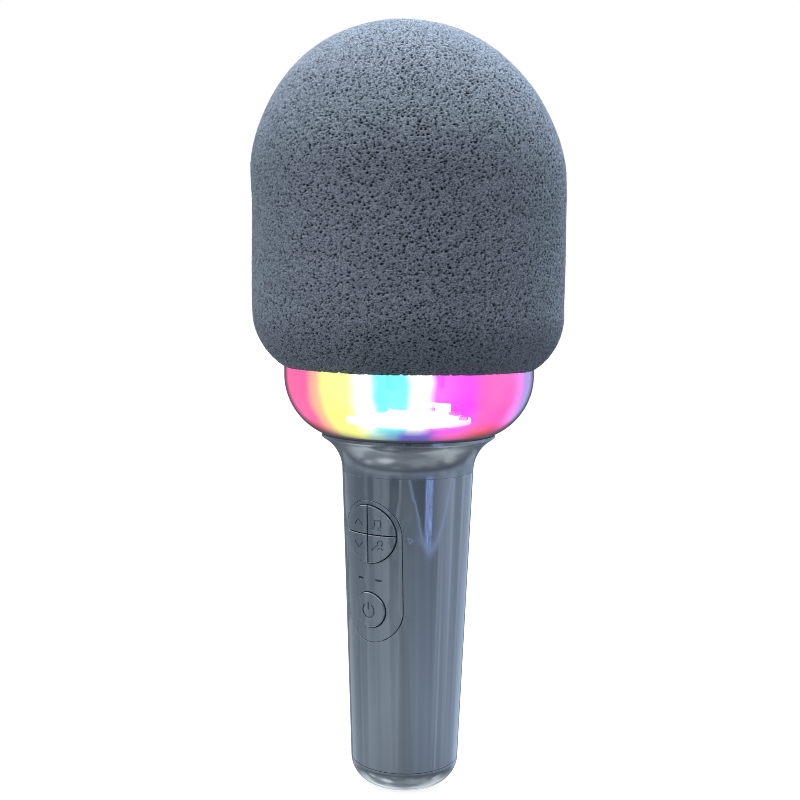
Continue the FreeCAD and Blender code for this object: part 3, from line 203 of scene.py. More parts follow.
# ================================================================ node helpers
class Tree:
    """Short way to write a node tree."""

    def __init__(self, tree):
        self.tree = tree

    def node(self, kind, **settings):
        """Adds a node. Settings named after inputs are values or sockets, the others are properties."""
        made = self.tree.nodes.new("ShaderNode" + kind)
        for name, value in settings.items():
            title = name.replace("_", " ")
            if name in made.bl_rna.properties and title not in made.inputs:
                setattr(made, name, value)
            else:
                self.set(made.inputs[title], value)
        return made

    def set(self, socket, value):
        if isinstance(value, bpy.types.NodeSocket):
            self.tree.links.new(value, socket)
        else:
            socket.default_value = value

    def math(self, operation, *values):
        made = self.tree.nodes.new("ShaderNodeMath")
        made.operation = operation
        for socket, value in zip(made.inputs, values):
            self.set(socket, value)
        return made.outputs[0]

    def mix(self, share, first, second):
        """Mix of two colours. Among the node's inputs, those of colours are the seventh and eighth."""
        made = self.tree.nodes.new("ShaderNodeMix")
        made.data_type = "RGBA"
        self.set(made.inputs[0], share)
        self.set(made.inputs[6], first)
        self.set(made.inputs[7], second)
        return made.outputs[2]

    def ramp(self, share, *stops, smooth="LINEAR"):
        """Colour ramp. Each stop is (position, colour)."""
        made = self.tree.nodes.new("ShaderNodeValToRGB")
        made.color_ramp.interpolation = smooth
        elements = made.color_ramp.elements
        for _ in stops[2:]:
            elements.new(0.5)
        for element, (place, colour) in zip(elements, stops):
            element.position = place
            element.color = colour
        self.set(made.inputs[0], share)
        return made.outputs[0]

    def shade(self, tone, factor):
        """Colour made darker or lighter by a factor."""
        made = self.node("VectorMath", operation="SCALE")
        self.set(made.inputs[0], tone)
        made.inputs["Scale"].default_value = factor
        return made.outputs[0]

    def scaled(self, tone, factor):
        """Colour times another socket, channel by channel."""
        made = self.node("VectorMath", operation="MULTIPLY")
        self.set(made.inputs[0], tone)
        self.set(made.inputs[1], factor)
        return made.outputs[0]

    def place(self):
        """Position in the row frame, in metres."""
        return self.node("TexCoord").outputs["Object"]

    def limits(self, value, start, end):
        """Rises evenly from 0 at the start to 1 at the end, and stays there."""
        return self.node("MapRange", Value=value, From_Min=start, From_Max=end).outputs[0]


def colour(r, g, b):
    return (r, g, b, 1.0)


def grey(v):
    return (v, v, v, 1.0)


def new_material(name):
    """Material with an empty tree, its helper and its output node."""
    made = bpy.data.materials.new(name)
    made.use_nodes = True
    made.node_tree.nodes.clear()
    tree = Tree(made.node_tree)
    return made, tree, tree.node("OutputMaterial")


def speckle(t, scale, detail=3.0, rough=0.5):
    """Soft noise between 0 and 1 at a scale in cycles per metre."""
    made = t.node("TexNoise", Vector=t.place(), Scale=scale, Detail=detail, Roughness=rough)
    return made.outputs["Fac"]


def bump(t, height, distance, strength=1.0, normal=None):
    """Relief of a height between 0 and 1 over a distance in metres."""
    made = t.node("Bump", Height=height, Distance=distance, Strength=strength)
    if normal is not None:
        t.set(made.inputs["Normal"], normal)
    return made.outputs[0]


# ================================================================ materials
def foam_material():
    """Open-cell foam: slate skin, painted shade in pores and finer pits, wormy walls of grain with
    painted light and shade.
    """
    made, t, out = new_material("foam")
    pore = t.node("Attribute", attribute_name="pore").outputs["Fac"]
    squat = t.node("Mapping", Vector=t.place())
    squat.inputs["Scale"].default_value = (1, 1, PIT_SQUAT)
    tone = t.mix(speckle(t, 70, 4), colour(0.124, 0.152, 0.190), colour(0.150, 0.183, 0.226))
    weave = t.node("TexNoise", Vector=squat.outputs[0], Scale=WORMS_PER_METRE, Detail=1, Distortion=1)
    worms = weave.outputs["Fac"]
    # The foam's grain with painted light and shade: cell walls in a lighter and a darker copy of the
    # tone, drawing the relief that the bump below also draws.
    wall = t.ramp(worms, (0.40, grey(0)), (0.60, grey(1)))
    tone = t.mix(wall, t.shade(tone, 0.54), t.shade(tone, 1.58))
    # Painted shade: the finer pits, and the pores that are also cut into the mesh, darken the tone
    # towards near black.
    cells = t.node("TexVoronoi", Vector=squat.outputs[0], Scale=PITS_PER_METRE, Randomness=1.0)
    pits = t.ramp(cells.outputs["Distance"], (0.22, grey(1)), (0.32, grey(0)))
    hollow_shade = t.ramp(pore, (0.18, grey(0)), (0.50, grey(1)))
    dark = t.math("MAXIMUM", hollow_shade, t.math("MULTIPLY", pits, 0.8))
    tone = t.mix(dark, tone, colour(0.028, 0.035, 0.045))
    height = t.math("SUBTRACT", t.math("MULTIPLY", worms, 0.8), pits)
    relief = bump(t, height, FINE_RELIEF, 0.7)
    skin = t.node("BsdfPrincipled", Base_Color=tone, Roughness=0.95, Normal=relief)
    skin.inputs["Sheen Weight"].default_value = 0.10
    skin.inputs["Sheen Roughness"].default_value = 0.40
    skin.inputs["Sheen Tint"].default_value = colour(0.62, 0.78, 1.0)
    skin.inputs["Specular IOR Level"].default_value = 0.15
    t.set(out.inputs["Surface"], skin.outputs[0])
    return made


def case_material(name, softer=0.0, lip_z=None):
    """Glossy slate moulding: faint flow marks, fine dust in the gloss, painted shade in recesses, and
    edges paler, partly from wear and partly as a painted highlight.

    softer blurs its reflections. With lip_z it has a painted shadow above that height, dark and dull as
    in the shadow gap under the light ring, and painted shade dims its gloss where it is seen at a slant.
    """
    made, t, out = new_material(name)
    tone = t.mix(speckle(t, 22, 2), colour(0.070, 0.096, 0.132), colour(0.082, 0.110, 0.148))
    worn_and_lit_edges = t.node("Bevel", Radius=WORN_AND_LIT_EDGE_R)
    worn_and_lit_edges.samples = 4
    normal = t.node("NewGeometry").outputs["Normal"]
    facing = t.node("VectorMath", operation="DOT_PRODUCT")
    t.set(facing.inputs[0], worn_and_lit_edges.outputs[0])
    t.set(facing.inputs[1], normal)
    # Paler edges where the rounded normal turns away: partly wear, partly a painted highlight.
    edge = t.ramp(facing.outputs["Value"], (0.75, grey(1)), (0.995, grey(0)))
    tone = t.mix(t.math("MULTIPLY", edge, 0.36), tone, colour(0.20, 0.25, 0.32))
    # Painted shade in recesses: ambient occlusion darkens the tone towards near black and dims the coat
    # and specular below.
    hollow_shade = t.node("AmbientOcclusion", Distance=GROOVE_REACH)
    hollow_shade.samples = 4
    groove_shade = t.ramp(hollow_shade.outputs["AO"], (0.35, grey(1)), (0.85, grey(0)))
    tone = t.mix(t.math("MULTIPLY", groove_shade, 0.85), tone, colour(0.010, 0.013, 0.018))
    dust = t.ramp(speckle(t, 700, 5, 0.7), (0.45, grey(0.06 + softer)), (0.75, grey(0.10 + softer)))
    gloss = t.math("ADD", dust, t.math("MULTIPLY", edge, 0.08))
    ripple = bump(t, speckle(t, 55, 1), (0.008 + 0.3 * softer) * MM, 0.5, worn_and_lit_edges.outputs[0])
    fine = bump(t, speckle(t, 2600, 2), 0.003 * MM, 0.3, ripple)
    skin = t.node("BsdfPrincipled", Base_Color=tone, Roughness=gloss, Normal=fine)
    skin.inputs["Coat Roughness"].default_value = 0.03 + softer
    dull = t.math("MULTIPLY", groove_shade, 0.7)
    if lip_z is not None:
        # Painted shadow of the gap under the light ring above lip_z, and painted shade that dims the
        # gloss at a slant.
        height = t.node("SeparateXYZ", Vector=t.place()).outputs["Z"]
        lip = t.limits(height, lip_z, lip_z + LIP_FADE)
        t.set(skin.inputs["Base Color"], t.mix(lip, tone, colour(0.022, 0.028, 0.038)))
        aslant_shade = t.node("LayerWeight", Blend=0.5).outputs["Facing"]
        dull = t.math("MAXIMUM", lip, t.ramp(aslant_shade, (0.45, grey(0)), (0.85, grey(0.85))))
    t.set(skin.inputs["Coat Weight"], t.math("MULTIPLY_ADD", dull, -0.95, 1.0))
    t.set(skin.inputs["Specular IOR Level"], t.math("MULTIPLY_ADD", dull, -0.40, 0.5))
    t.set(out.inputs["Surface"], skin.outputs[0])
    return made


def round_the_ring(t):
    """Place round the axis as a share of a turn, a little unsteady, and the height."""
    split = t.node("SeparateXYZ", Vector=t.place())
    angle = t.math("ARCTAN2", split.outputs["Y"], split.outputs["X"])
    turn = t.math("DIVIDE", angle, 2 * math.pi)
    turn = t.math("ADD", turn, 0.5)
    wobble = t.math("MULTIPLY", t.math("SUBTRACT", speckle(t, 60, 2), 0.5), 0.035)
    turn = t.math("FRACT", t.math("ADD", t.math("ADD", turn, wobble), 1.0))
    return turn, split.outputs["Z"]


ROSE = colour(1.0, 0.15, 0.40)
HOT_PINK = colour(1.0, 0.12, 0.55)
MAGENTA = colour(1.0, 0.07, 1.0)
CYAN = colour(0.13, 1.0, 1.0)
YELLOW = colour(1.0, 1.0, 0.25)
ORANGE = colour(1.0, 0.50, 0.30)
PALE = colour(1.2, 1.2, 1.1)
LAVENDER = colour(0.42, 0.33, 0.78)
RED = colour(1.0, 0.10, 0.10)
DARK_RED = colour(0.35, 0.06, 0.09)
VIOLET = colour(0.16, 0.12, 0.55)
TEAL = colour(0.18, 0.42, 0.58)
ORCHID = colour(0.97, 0.24, 0.82)
SAGE = colour(0.50, 0.75, 0.62)
PLUM = colour(0.75, 0.12, 0.60)
# Painted shade on the ring's rim.
RIM_SHADE = colour(0.065, 0.060, 0.080)
# Each stop is (degrees to the camera's right, colour), on the ring's wall and on its rolled-in floor.
WALL_GLOW = (
    (-89, LAVENDER), (-78, ROSE), (-54, ROSE), (-46, ORANGE), (-39, YELLOW), (-27, YELLOW), (-22, PALE),
    (-18, PALE), (-14, CYAN), (-3, CYAN), (1, PALE), (6, PALE), (10.5, MAGENTA), (25, MAGENTA),
    (34, HOT_PINK), (48, HOT_PINK), (56, ORCHID), (63, LAVENDER), (86, LAVENDER), (110, CYAN),
    (140, MAGENTA), (175, YELLOW), (215, CYAN), (245, MAGENTA),
)
FLOOR_GLOW = (
    (-89, VIOLET), (-72, DARK_RED), (-60, RED), (-47, ORANGE), (-38, YELLOW), (-24, YELLOW), (-17, SAGE),
    (-8, TEAL), (-1, VIOLET), (9, VIOLET), (16, PLUM), (22, HOT_PINK), (45, RED), (62, HOT_PINK),
    (80, VIOLET), (120, TEAL), (160, RED), (200, YELLOW), (240, VIOLET),
)


def ring_turn(degrees_right):
    """Place on the ring's ramp of an angle counted to the camera's right from its nearest point."""
    return (TOWARD_CAMERA / (2 * math.pi) + degrees_right / 360 + 0.5) % 1.0


def ring_glow(t):
    """Colour of the glow, from the floor's bands up to the wall's, and the share of the way up."""
    turn, height = round_the_ring(t)
    bands = []
    for glow in (WALL_GLOW, FLOOR_GLOW):
        stops = sorted((ring_turn(degrees), tone) for degrees, tone in glow)
        bands.append(t.ramp(turn, *stops, smooth="EASE"))
    share = t.math("DIVIDE", t.math("SUBTRACT", height, ring_low.z), RING_GLOW_RISE)
    return t.mix(t.ramp(share, (0.30, grey(0)), (0.80, grey(1))), bands[1], bands[0]), share


def ring_material():
    """Clear bowl that glows with the LED colours and still lets the lit board show through, with painted
    shade on its rim.
    """
    made, t, out = new_material("ring_glow")
    facing = t.node("LayerWeight", Blend=0.50).outputs["Facing"]
    glow, share = ring_glow(t)
    # Painted shade: the rim goes dark grey at grazing angles, and along a band at the ring's bottom.
    high_rim_shade = t.ramp(facing, (0.74, grey(0)), (0.86, grey(0.9)))
    low_rim_shade = t.ramp(facing, (0.50, grey(0)), (0.74, grey(1)))
    rim = t.mix(t.ramp(share, (0.05, grey(1)), (0.75, grey(0))), high_rim_shade, low_rim_shade)
    rim = t.math("MAXIMUM", rim, t.ramp(share, (0.08, grey(1)), (0.17, grey(0))))
    glow = t.mix(rim, glow, RIM_SHADE)
    lamp = t.node("Emission", Color=glow, Strength=1.1)
    clear = t.node("BsdfTransparent", Color=grey(1))
    cover = t.ramp(facing, (0.1, grey(0.84)), (0.5, grey(1.0)))
    front = t.math("SUBTRACT", 1.0, t.node("NewGeometry").outputs["Backfacing"])
    body = t.node("MixShader")
    t.set(body.inputs[0], t.math("MULTIPLY", cover, front))
    t.set(body.inputs[1], clear.outputs[0])
    t.set(body.inputs[2], lamp.outputs[0])
    ripple = bump(t, speckle(t, 120, 2), 0.05 * MM, 0.4)
    gloss = t.node("BsdfGlossy", Color=grey(1), Roughness=0.05, Normal=ripple)
    coat = t.node("MixShader")
    mirror = t.math("MULTIPLY", t.node("Fresnel", IOR=1.4).outputs[0], 0.30)
    t.set(coat.inputs[0], t.math("MULTIPLY", mirror, front))
    t.set(coat.inputs[1], body.outputs[0])
    t.set(coat.inputs[2], gloss.outputs[0])
    t.set(out.inputs["Surface"], coat.outputs[0])
    return made


def lit_material(name, lit_z=None, near_only=False):
    """White parts with painted light: they glow as if lit hard by the LEDs, but shed less light on the
    others.

    Where lit_z gives two heights, only what lies between them is lit. With near_only, only the camera's
    side is lit.
    """
    made, t, out = new_material(name)
    tone = t.mix(speckle(t, 300, 2), grey(0.80), grey(0.90))
    skin = t.node("BsdfPrincipled", Base_Color=tone, Roughness=0.4)
    skin.inputs["Emission Color"].default_value = grey(1)
    seen = t.node("LightPath").outputs["Is Camera Ray"]
    strength = t.math("MULTIPLY_ADD", seen, LIT_LOOK, LIT_SHED)
    place = t.place()
    if lit_z is not None:
        height = t.node("SeparateXYZ", Vector=place).outputs["Z"]
        fade = t.limits(height, lit_z[1] + LIT_FADE, lit_z[1])
        lit = t.math("MULTIPLY", fade, t.math("GREATER_THAN", height, lit_z[0]))
        strength = t.math("MULTIPLY", strength, lit)
    if near_only:
        near = t.node("VectorMath", operation="DOT_PRODUCT")
        t.set(near.inputs[0], place)
        near.inputs[1].default_value = -AWAY
        strength = t.math("MULTIPLY", strength, t.limits(near.outputs["Value"], *LIT_NEAR))
    t.set(skin.inputs["Emission Strength"], strength)
    t.set(out.inputs["Surface"], skin.outputs[0])
    return made


def plastic_material(name, tone, roughness, grain=900, depth=0.02):
    """Moulded plastic with a fine spark-eroded grain and slight unevenness of tone."""
    made, t, out = new_material(name)
    darker = colour(*[c * 0.82 for c in tone])
    shade = t.mix(speckle(t, 60, 3), darker, colour(*tone))
    smoother, rougher = roughness * 0.85, min(1.0, roughness * 1.15)
    rough = t.ramp(speckle(t, grain, 4), (0.3, grey(smoother)), (0.7, grey(rougher)))
    relief = bump(t, speckle(t, grain, 3), depth * MM, 0.5)
    skin = t.node("BsdfPrincipled", Base_Color=shade, Roughness=rough, Normal=relief)
    t.set(out.inputs["Surface"], skin.outputs[0])
    return made


def metal_material(name, tone, roughness, stretch=(1, 1, 30)):
    """Metal with brushed or rolled streaks and light tarnish."""
    made, t, out = new_material(name)
    mapping = t.node("Mapping", Vector=t.place())
    mapping.inputs["Scale"].default_value = stretch
    streaks = t.node("TexNoise", Vector=mapping.outputs[0], Scale=220.0, Detail=4.0)
    darker = colour(*[c * 0.7 for c in tone])
    shade = t.mix(speckle(t, 70, 4), darker, colour(*tone))
    rough = t.ramp(streaks.outputs["Fac"], (0.3, grey(roughness * 0.7)), (0.7, grey(roughness * 1.3)))
    relief = bump(t, streaks.outputs["Fac"], 0.01 * MM, 0.4)
    skin = t.node("BsdfPrincipled", Base_Color=shade, Metallic=1.0, Roughness=rough, Normal=relief)
    t.set(out.inputs["Surface"], skin.outputs[0])
    return made


def circuit_material():
    """Green solder mask with copper tracks showing through and fine weave."""
    made, t, out = new_material("circuit_board")
    tracks = t.node(
        "TexBrick", Vector=t.place(), Scale=260.0, Color1=grey(0), Color2=grey(0), Mortar=grey(1)
    )
    tracks.inputs["Mortar Size"].default_value = 0.06
    weave = t.node("TexWave", Vector=t.place(), Scale=900.0, Distortion=1.0)
    mask = t.mix(weave.outputs["Fac"], colour(0.008, 0.085, 0.035), colour(0.012, 0.11, 0.048))
    tone = t.mix(t.math("MULTIPLY", tracks.outputs["Color"], 0.8), mask, colour(0.045, 0.24, 0.09))
    relief = bump(t, tracks.outputs["Color"], 0.03 * MM, 0.6)
    skin = t.node("BsdfPrincipled", Base_Color=tone, Roughness=0.28, Normal=relief)
    t.set(out.inputs["Surface"], skin.outputs[0])
    return made


def winding_material():
    """Copper winding in fine turns."""
    made, t, out = new_material("winding")
    turns = t.node("TexWave", Vector=t.place(), Scale=1200.0, bands_direction="Z", wave_type="BANDS")
    tone = t.mix(turns.outputs["Fac"], colour(0.30, 0.09, 0.03), colour(0.80, 0.36, 0.16))
    relief = bump(t, turns.outputs["Fac"], 0.08 * MM, 0.8)
    skin = t.node("BsdfPrincipled", Base_Color=tone, Metallic=0.9, Roughness=0.35, Normal=relief)
    t.set(out.inputs["Surface"], skin.outputs[0])
    return made


def cloth_material():
    """Resin-dipped woven spider."""
    made, t, out = new_material("spider_cloth")
    weave = t.node("TexChecker", Vector=t.place(), Scale=2200.0)
    tone = t.mix(weave.outputs["Fac"], colour(0.34, 0.20, 0.07), colour(0.62, 0.44, 0.20))
    relief = bump(t, weave.outputs["Fac"], 0.08 * MM, 0.7)
    skin = t.node("BsdfPrincipled", Base_Color=tone, Roughness=0.8, Normal=relief)
    t.set(out.inputs["Surface"], skin.outputs[0])
    return made


def pulp_material():
    """Pressed black paper pulp with fibres."""
    made, t, out = new_material("cone_pulp")
    mapping = t.node("Mapping", Vector=t.place())
    mapping.inputs["Scale"].default_value = (1, 1, 6)
    fibres = t.node("TexNoise", Vector=mapping.outputs[0], Scale=900.0, Detail=6.0, Distortion=1.5)
    tone = t.mix(fibres.outputs["Fac"], grey(0.015), grey(0.07))
    relief = bump(t, fibres.outputs["Fac"], 0.12 * MM, 0.7)
    skin = t.node("BsdfPrincipled", Base_Color=tone, Roughness=0.75, Normal=relief)
    t.set(out.inputs["Surface"], skin.outputs[0])
    return made


# ================================================================ foam dome
def eased(share):
    """A share kept between 0 and 1, with soft ends."""
    share = max(0.0, min(1.0, share))
    return share * share * (3 - 2 * share)


def along_line(start, end, step):
    """Points of a straight profile stretch with their outward normal, without its last point."""
    length = math.dist(start, end)
    count = max(1, round(length / step))
    across = ((end[1] - start[1]) / length, -(end[0] - start[0]) / length)
    for i in range(count):
        share = i / count
        yield tuple(a + (b - a) * share for a, b in zip(start, end)) + across


def along_arc(centre, radius, start, end, step, outward=1):
    """Points of a round profile stretch with their outward normal, without its last point."""
    count = max(1, round(radius * abs(end - start) / step))
    for i in range(count):
        angle = start + (end - start) * i / count
        normal = (math.cos(angle), math.sin(angle))
        yield (
            centre[0] + radius * normal[0],
            centre[1] + radius * normal[1],
            outward * normal[0],
            outward * normal[1],
        )


def foam_outside():
    """Outer profile from the mouth's lip up to the crown."""
    skirt_r = HEAD_R - FOAM_SKIRT_R
    drop = math.acos((MOUTH_R - skirt_r) / FOAM_SKIRT_R)
    skirt_z = foam_low.z + FOAM_SKIRT_R * math.sin(drop)
    yield from along_arc((skirt_r, skirt_z), FOAM_SKIRT_R, -drop, 0, FOAM_STEP)
    yield from along_line((HEAD_R, skirt_z), (HEAD_R, DOME_Z), FOAM_STEP)
    yield from along_arc((0, DOME_Z), HEAD_R, 0, math.pi / 2, FOAM_STEP)


def foam_inside():
    """Inner profile from the crown down over the cage, then wider where it sits on the light ring."""
    seat_z = foam_low.z + SEAT_HEIGHT
    inner_crown = along_arc((0, DOME_Z), CAVITY_R, math.pi / 2, 0, LINING_STEP, -1)
    next(inner_crown)
    yield from inner_crown
    yield from along_line((CAVITY_R, DOME_Z), (CAVITY_R, seat_z), LINING_STEP)
    yield from along_line((CAVITY_R, seat_z), (MOUTH_R, seat_z - SEAT_SLOPE), LINING_STEP)
    yield from along_line((MOUTH_R, seat_z - SEAT_SLOPE), (MOUTH_R, foam_low.z), LINING_STEP)


def pore_spots(outside):
    """Pore centres spread at random over the skin, clear of each other, and their radii."""
    chance = random.Random(PORE_SEED)
    cell = 2 * PORE_R[1] + PORE_GAP
    taken = {}
    spots = []
    for r, z, _, _ in outside:
        tries = 2 * math.pi * r * FOAM_STEP * PORE_TRIES_PER_MM2 / MM ** 2
        for _ in range(int(tries) + (chance.random() < tries % 1)):
            angle = chance.uniform(0, 2 * math.pi)
            height = z + chance.uniform(-0.5, 0.5) * FOAM_STEP
            middle = Vector((r * math.cos(angle), r * math.sin(angle), height * PORE_SQUAT))
            reach = PORE_R[0] + (PORE_R[1] - PORE_R[0]) * chance.random() ** PORE_FEW_LARGE
            key = tuple(int(c // cell) for c in middle)
            near = (
                spot
                for i in (-1, 0, 1) for j in (-1, 0, 1) for k in (-1, 0, 1)
                for spot in taken.get((key[0] + i, key[1] + j, key[2] + k), ())
            )
            if all((middle - other).length > reach + size + PORE_GAP for other, size in near):
                taken.setdefault(key, []).append((middle, reach))
                spots.append((middle, reach))
    tree = kdtree.KDTree(len(spots))
    for i, (middle, _) in enumerate(spots):
        tree.insert(middle, i)
    tree.balance()
    return tree, [reach for _, reach in spots]


def pore_depth(skin, tree, reaches):
    """How deep a pore is at a point on the skin, from 0 to 1. Pores are ragged and wider than tall."""
    bent = skin + noise.noise_vector(skin * RAGGED_PER_METRE) * PORE_RAGGED
    bent.z *= PORE_SQUAT
    _, index, distance = tree.find(bent)
    return eased(PORE_STEEPNESS * (1 - distance / reaches[index]))


def foam_sag(z):
    """How far the soft dome leans to the camera's left and how much it shrinks, at a height."""
    lean = FOAM_LEAN + FOAM_LEAN_SLOPE * max(0.0, z - FOAM_LEAN_FROM)
    lean *= max(0.0, min(1.0, (z - foam_low.z) / FOAM_SKIRT_R))
    return lean, FOAM_SHRINK + SHOULDER_SHRINK * eased((z - SHOULDER_FROM) / SHOULDER_RISE)


def mouth_sag(skin):
    """How far the foam has crept down near its mouth, most of all towards the camera's right."""
    share = max(0.0, 1 - (skin.z - foam_low.z) / MOUTH_SAG_RISE)
    turned = math.atan2(skin.y, skin.x) - TOWARD_CAMERA - math.pi / 4
    return (MOUTH_SAG + MOUTH_UNEVEN * math.cos(turned)) * share * share


def foam_skin(outside, turns):
    """Points of the porous skin with their pore depths, ring by ring and the crown last."""
    noise.seed_set(NOISE_SEED)
    tree, reaches = pore_spots(outside)
    points, depths = [], []
    for r, z, nr, nz in outside:
        lean, shrink = foam_sag(z)
        for c, s in turns:
            skin = Vector((r * c, r * s, z))
            deep = pore_depth(skin, tree, reaches)
            grain = FOAM_GRAIN * noise.noise(skin * GRAIN_PER_METRE)
            lump = FOAM_LUMPS * noise.noise(skin * LUMPS_PER_METRE)
            shift = grain + lump - shrink - PORE_DEPTH * deep
            placed = skin + Vector((nr * c, nr * s, nz)) * shift - RIGHT * lean
            placed.z -= mouth_sag(skin)
            points.append(placed)
            depths.append(deep)
    lean, shrink = foam_sag(HEAD_TOP)
    points.append(Vector((0, 0, HEAD_TOP - shrink)) - RIGHT * lean)
    depths.append(0.0)
    return points, depths


def foam_lining(inside, turns):
    """Points of the smooth inside, ring by ring and its crown last."""
    points = []
    for r, z, _, _ in inside:
        for c, s in turns:
            lining = Vector((r * c, r * s, z))
            lining.z -= mouth_sag(lining)
            points.append(lining)
    points.append(Vector((0, 0, DOME_Z + CAVITY_R)))
    return points


def foam_faces(skin_rings, lining_rings, columns):
    """Faces of the skin and the lining, closed at both crowns and joined at the mouth."""
    def quads(first, second):
        return [
            (first + j, first + (j + 1) % columns, second + (j + 1) % columns, second + j)
            for j in range(columns)
        ]

    crown = skin_rings * columns
    lining = crown + 1
    lining_crown = lining + lining_rings * columns
    last = crown - columns
    faces = []
    for k in range(skin_rings - 1):
        faces += quads(k * columns, (k + 1) * columns)
    faces += [(last + j, last + (j + 1) % columns, crown) for j in range(columns)]
    faces += [(lining + (j + 1) % columns, lining + j, lining_crown) for j in range(columns)]
    for k in range(lining_rings - 1):
        faces += quads(lining + k * columns, lining + (k + 1) * columns)
    faces += quads(lining_crown - columns, 0)
    return faces


def foam_dome():
    """The foam's own mesh: pores and lumps cut into the skin, smooth inside."""
    columns = round(2 * math.pi * HEAD_R / FOAM_STEP)
    angles = [2 * math.pi * j / columns for j in range(columns)]
    turns = [(math.cos(angle), math.sin(angle)) for angle in angles]
    outside, inside = list(foam_outside()), list(foam_inside())
    points, depths = foam_skin(outside, turns)
    lining = foam_lining(inside, turns)
    mesh = bpy.data.meshes.new("foam_dome")
    mesh.from_pydata(points + lining, [], foam_faces(len(outside), len(inside), columns))
    pores = mesh.attributes.new("pore", "FLOAT", "POINT")
    pores.data.foreach_set("value", depths + [LINING_PORE] * len(lining))
    mesh.shade_smooth()
    mesh.materials.append(foam_material())
    dome = bpy.data.objects.new("foam_dome", mesh)
    bpy.context.scene.collection.objects.link(dome)
    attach(dome, "windscreen")
    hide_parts("foam_windscreen")


# ================================================================ materials on the CAD nodes
def dress():
    """Gives every CAD node its material."""
    case = case_material("case_plastic")
    keys = case_material("key_plastic")
    foot = case_material("foot_plastic", softer=0.06)
    flare = case_material("flare_plastic", softer=0.11, lip_z=collar_high.z - LIP_HEIGHT)
    white = plastic_material("white_plastic", (0.80, 0.81, 0.82), 0.45)
    black = plastic_material("black_plastic", (0.020, 0.021, 0.024), 0.55)
    cream = plastic_material("cream_plastic", (0.72, 0.66, 0.50), 0.35)
    rubber = plastic_material("rubber", (0.018, 0.018, 0.020), 0.85, grain=500, depth=0.06)
    lens = plastic_material("smoked_lens", (0.006, 0.006, 0.008), 0.08, grain=200, depth=0.004)
    chip = plastic_material("chip_package", (0.012, 0.012, 0.014), 0.5)
    wrap = plastic_material("cell_wrap", (0.03, 0.16, 0.42), 0.22, grain=120, depth=0.05)
    sheath = plastic_material("wire_sheath", (0.02, 0.02, 0.023), 0.6)
    magnet = plastic_material("ferrite", (0.045, 0.044, 0.048), 0.6, grain=1500, depth=0.05)
    steel = metal_material("stamped_steel", (0.55, 0.56, 0.58), 0.32)
    zinc = metal_material("zinc_screw", (0.48, 0.48, 0.50), 0.36, stretch=(1, 1, 4))
    circuit = circuit_material()
    lit = lit_material("lit_board")
    lit_leds = lit_material("lit_leds", near_only=True)
    lit_core = lit_material("lit_core", lit_z=LIT_CORE_Z)
    looks = {
        case: ("handle_tube", "control_panel"),
        foot: ("end_cap",),
        keys: [key + "_key" for key in KEYS],
        flare: ("neck_collar",),
        ring_material(): ("light_diffuser",),
        lit: ("led_board", "led_connector"),
        lit_leds: ("rgb_leds", "led_board_screws"),
        lit_core: ("light_core",),
        white: ("indicator_leds",),
        black: ("grille_cage", "speaker_tray", "inner_sled", "switch_bodies", "charge_socket_tongue"),
        cream: ["cable_headers"] + [key + "_plunger" for key in KEYS],
        rubber: ("mic_boot", "cone_surround", "speaker_gasket"),
        lens: ("indicator_lenses",),
        chip: ("board_chips",),
        wrap: ("battery_cell",),
        sheath: ("mic_cable", "speaker_cable", "led_cable", "battery_cable", "charge_cable"),
        magnet: ("speaker_magnet",),
        steel: (
            "speaker_yoke", "speaker_top_plate", "speaker_basket", "charge_socket_shell", "mic_capsule",
        ),
        zinc: (
            "speaker_screws", "core_screws", "tray_screws", "charge_board_screws", "board_screws",
            "sled_screws",
        ),
        circuit: ("main_board", "charge_board"),
        winding_material(): ("voice_coil",),
        cloth_material(): ("cone_spider",),
        pulp_material(): ("speaker_cone", "dust_cap"),
    }
    for look, names in looks.items():
        for name in names:
            slots = nodes[name].data.materials
            for i in range(len(slots)):
                slots[i] = look


# ================================================================ stage
def studio():
    """Plain white surroundings: soft light from above, and a room that only shows as reflections."""
    world = bpy.data.worlds.new("studio")
    bpy.context.scene.world = world
    world.use_nodes = True
    world.node_tree.nodes.clear()
    t = Tree(world.node_tree)
    way = t.node("TexCoord").outputs["Generated"]
    up = t.math("MULTIPLY_ADD", t.node("SeparateXYZ", Vector=way).outputs["Z"], 0.5, 0.5)
    soft = t.ramp(up, (0.0, grey(0.26)), (0.42, grey(0.34)), (0.60, grey(0.52)), (1.0, grey(1.6)))
    light = t.node("LightPath")
    seen = t.mix(light.outputs["Is Glossy Ray"], soft, reflections(t, way))
    seen = t.mix(light.outputs["Is Camera Ray"], seen, grey(1.0))
    shine = t.node("Background", Color=seen, Strength=1.0)
    out = t.node("OutputWorld")
    t.set(out.inputs["Surface"], shine.outputs[0])
    world.cycles.sampling_method = "NONE"


def stripes(t, turn, tint, levels):
    """Upright soft boxes with crisp sides, each up to where the next one starts."""
    stops = []
    for i, (start, level) in enumerate(levels):
        end = levels[i + 1][0] if i + 1 < len(levels) else 180
        tone = colour(*[level * channel for channel in tint])
        stops += [((start + STRIPE_EDGE + 180) / 360, tone), ((end + 180) / 360, tone)]
    return t.ramp(turn, *stops)


def band(t, value, low, high, blur):
    """One between two limits, falling to nothing outside them over a short blur."""
    rise = t.limits(value, low - blur, low + blur)
    fall = t.limits(value, high - blur, high + blur)
    return t.math("SUBTRACT", rise, fall)


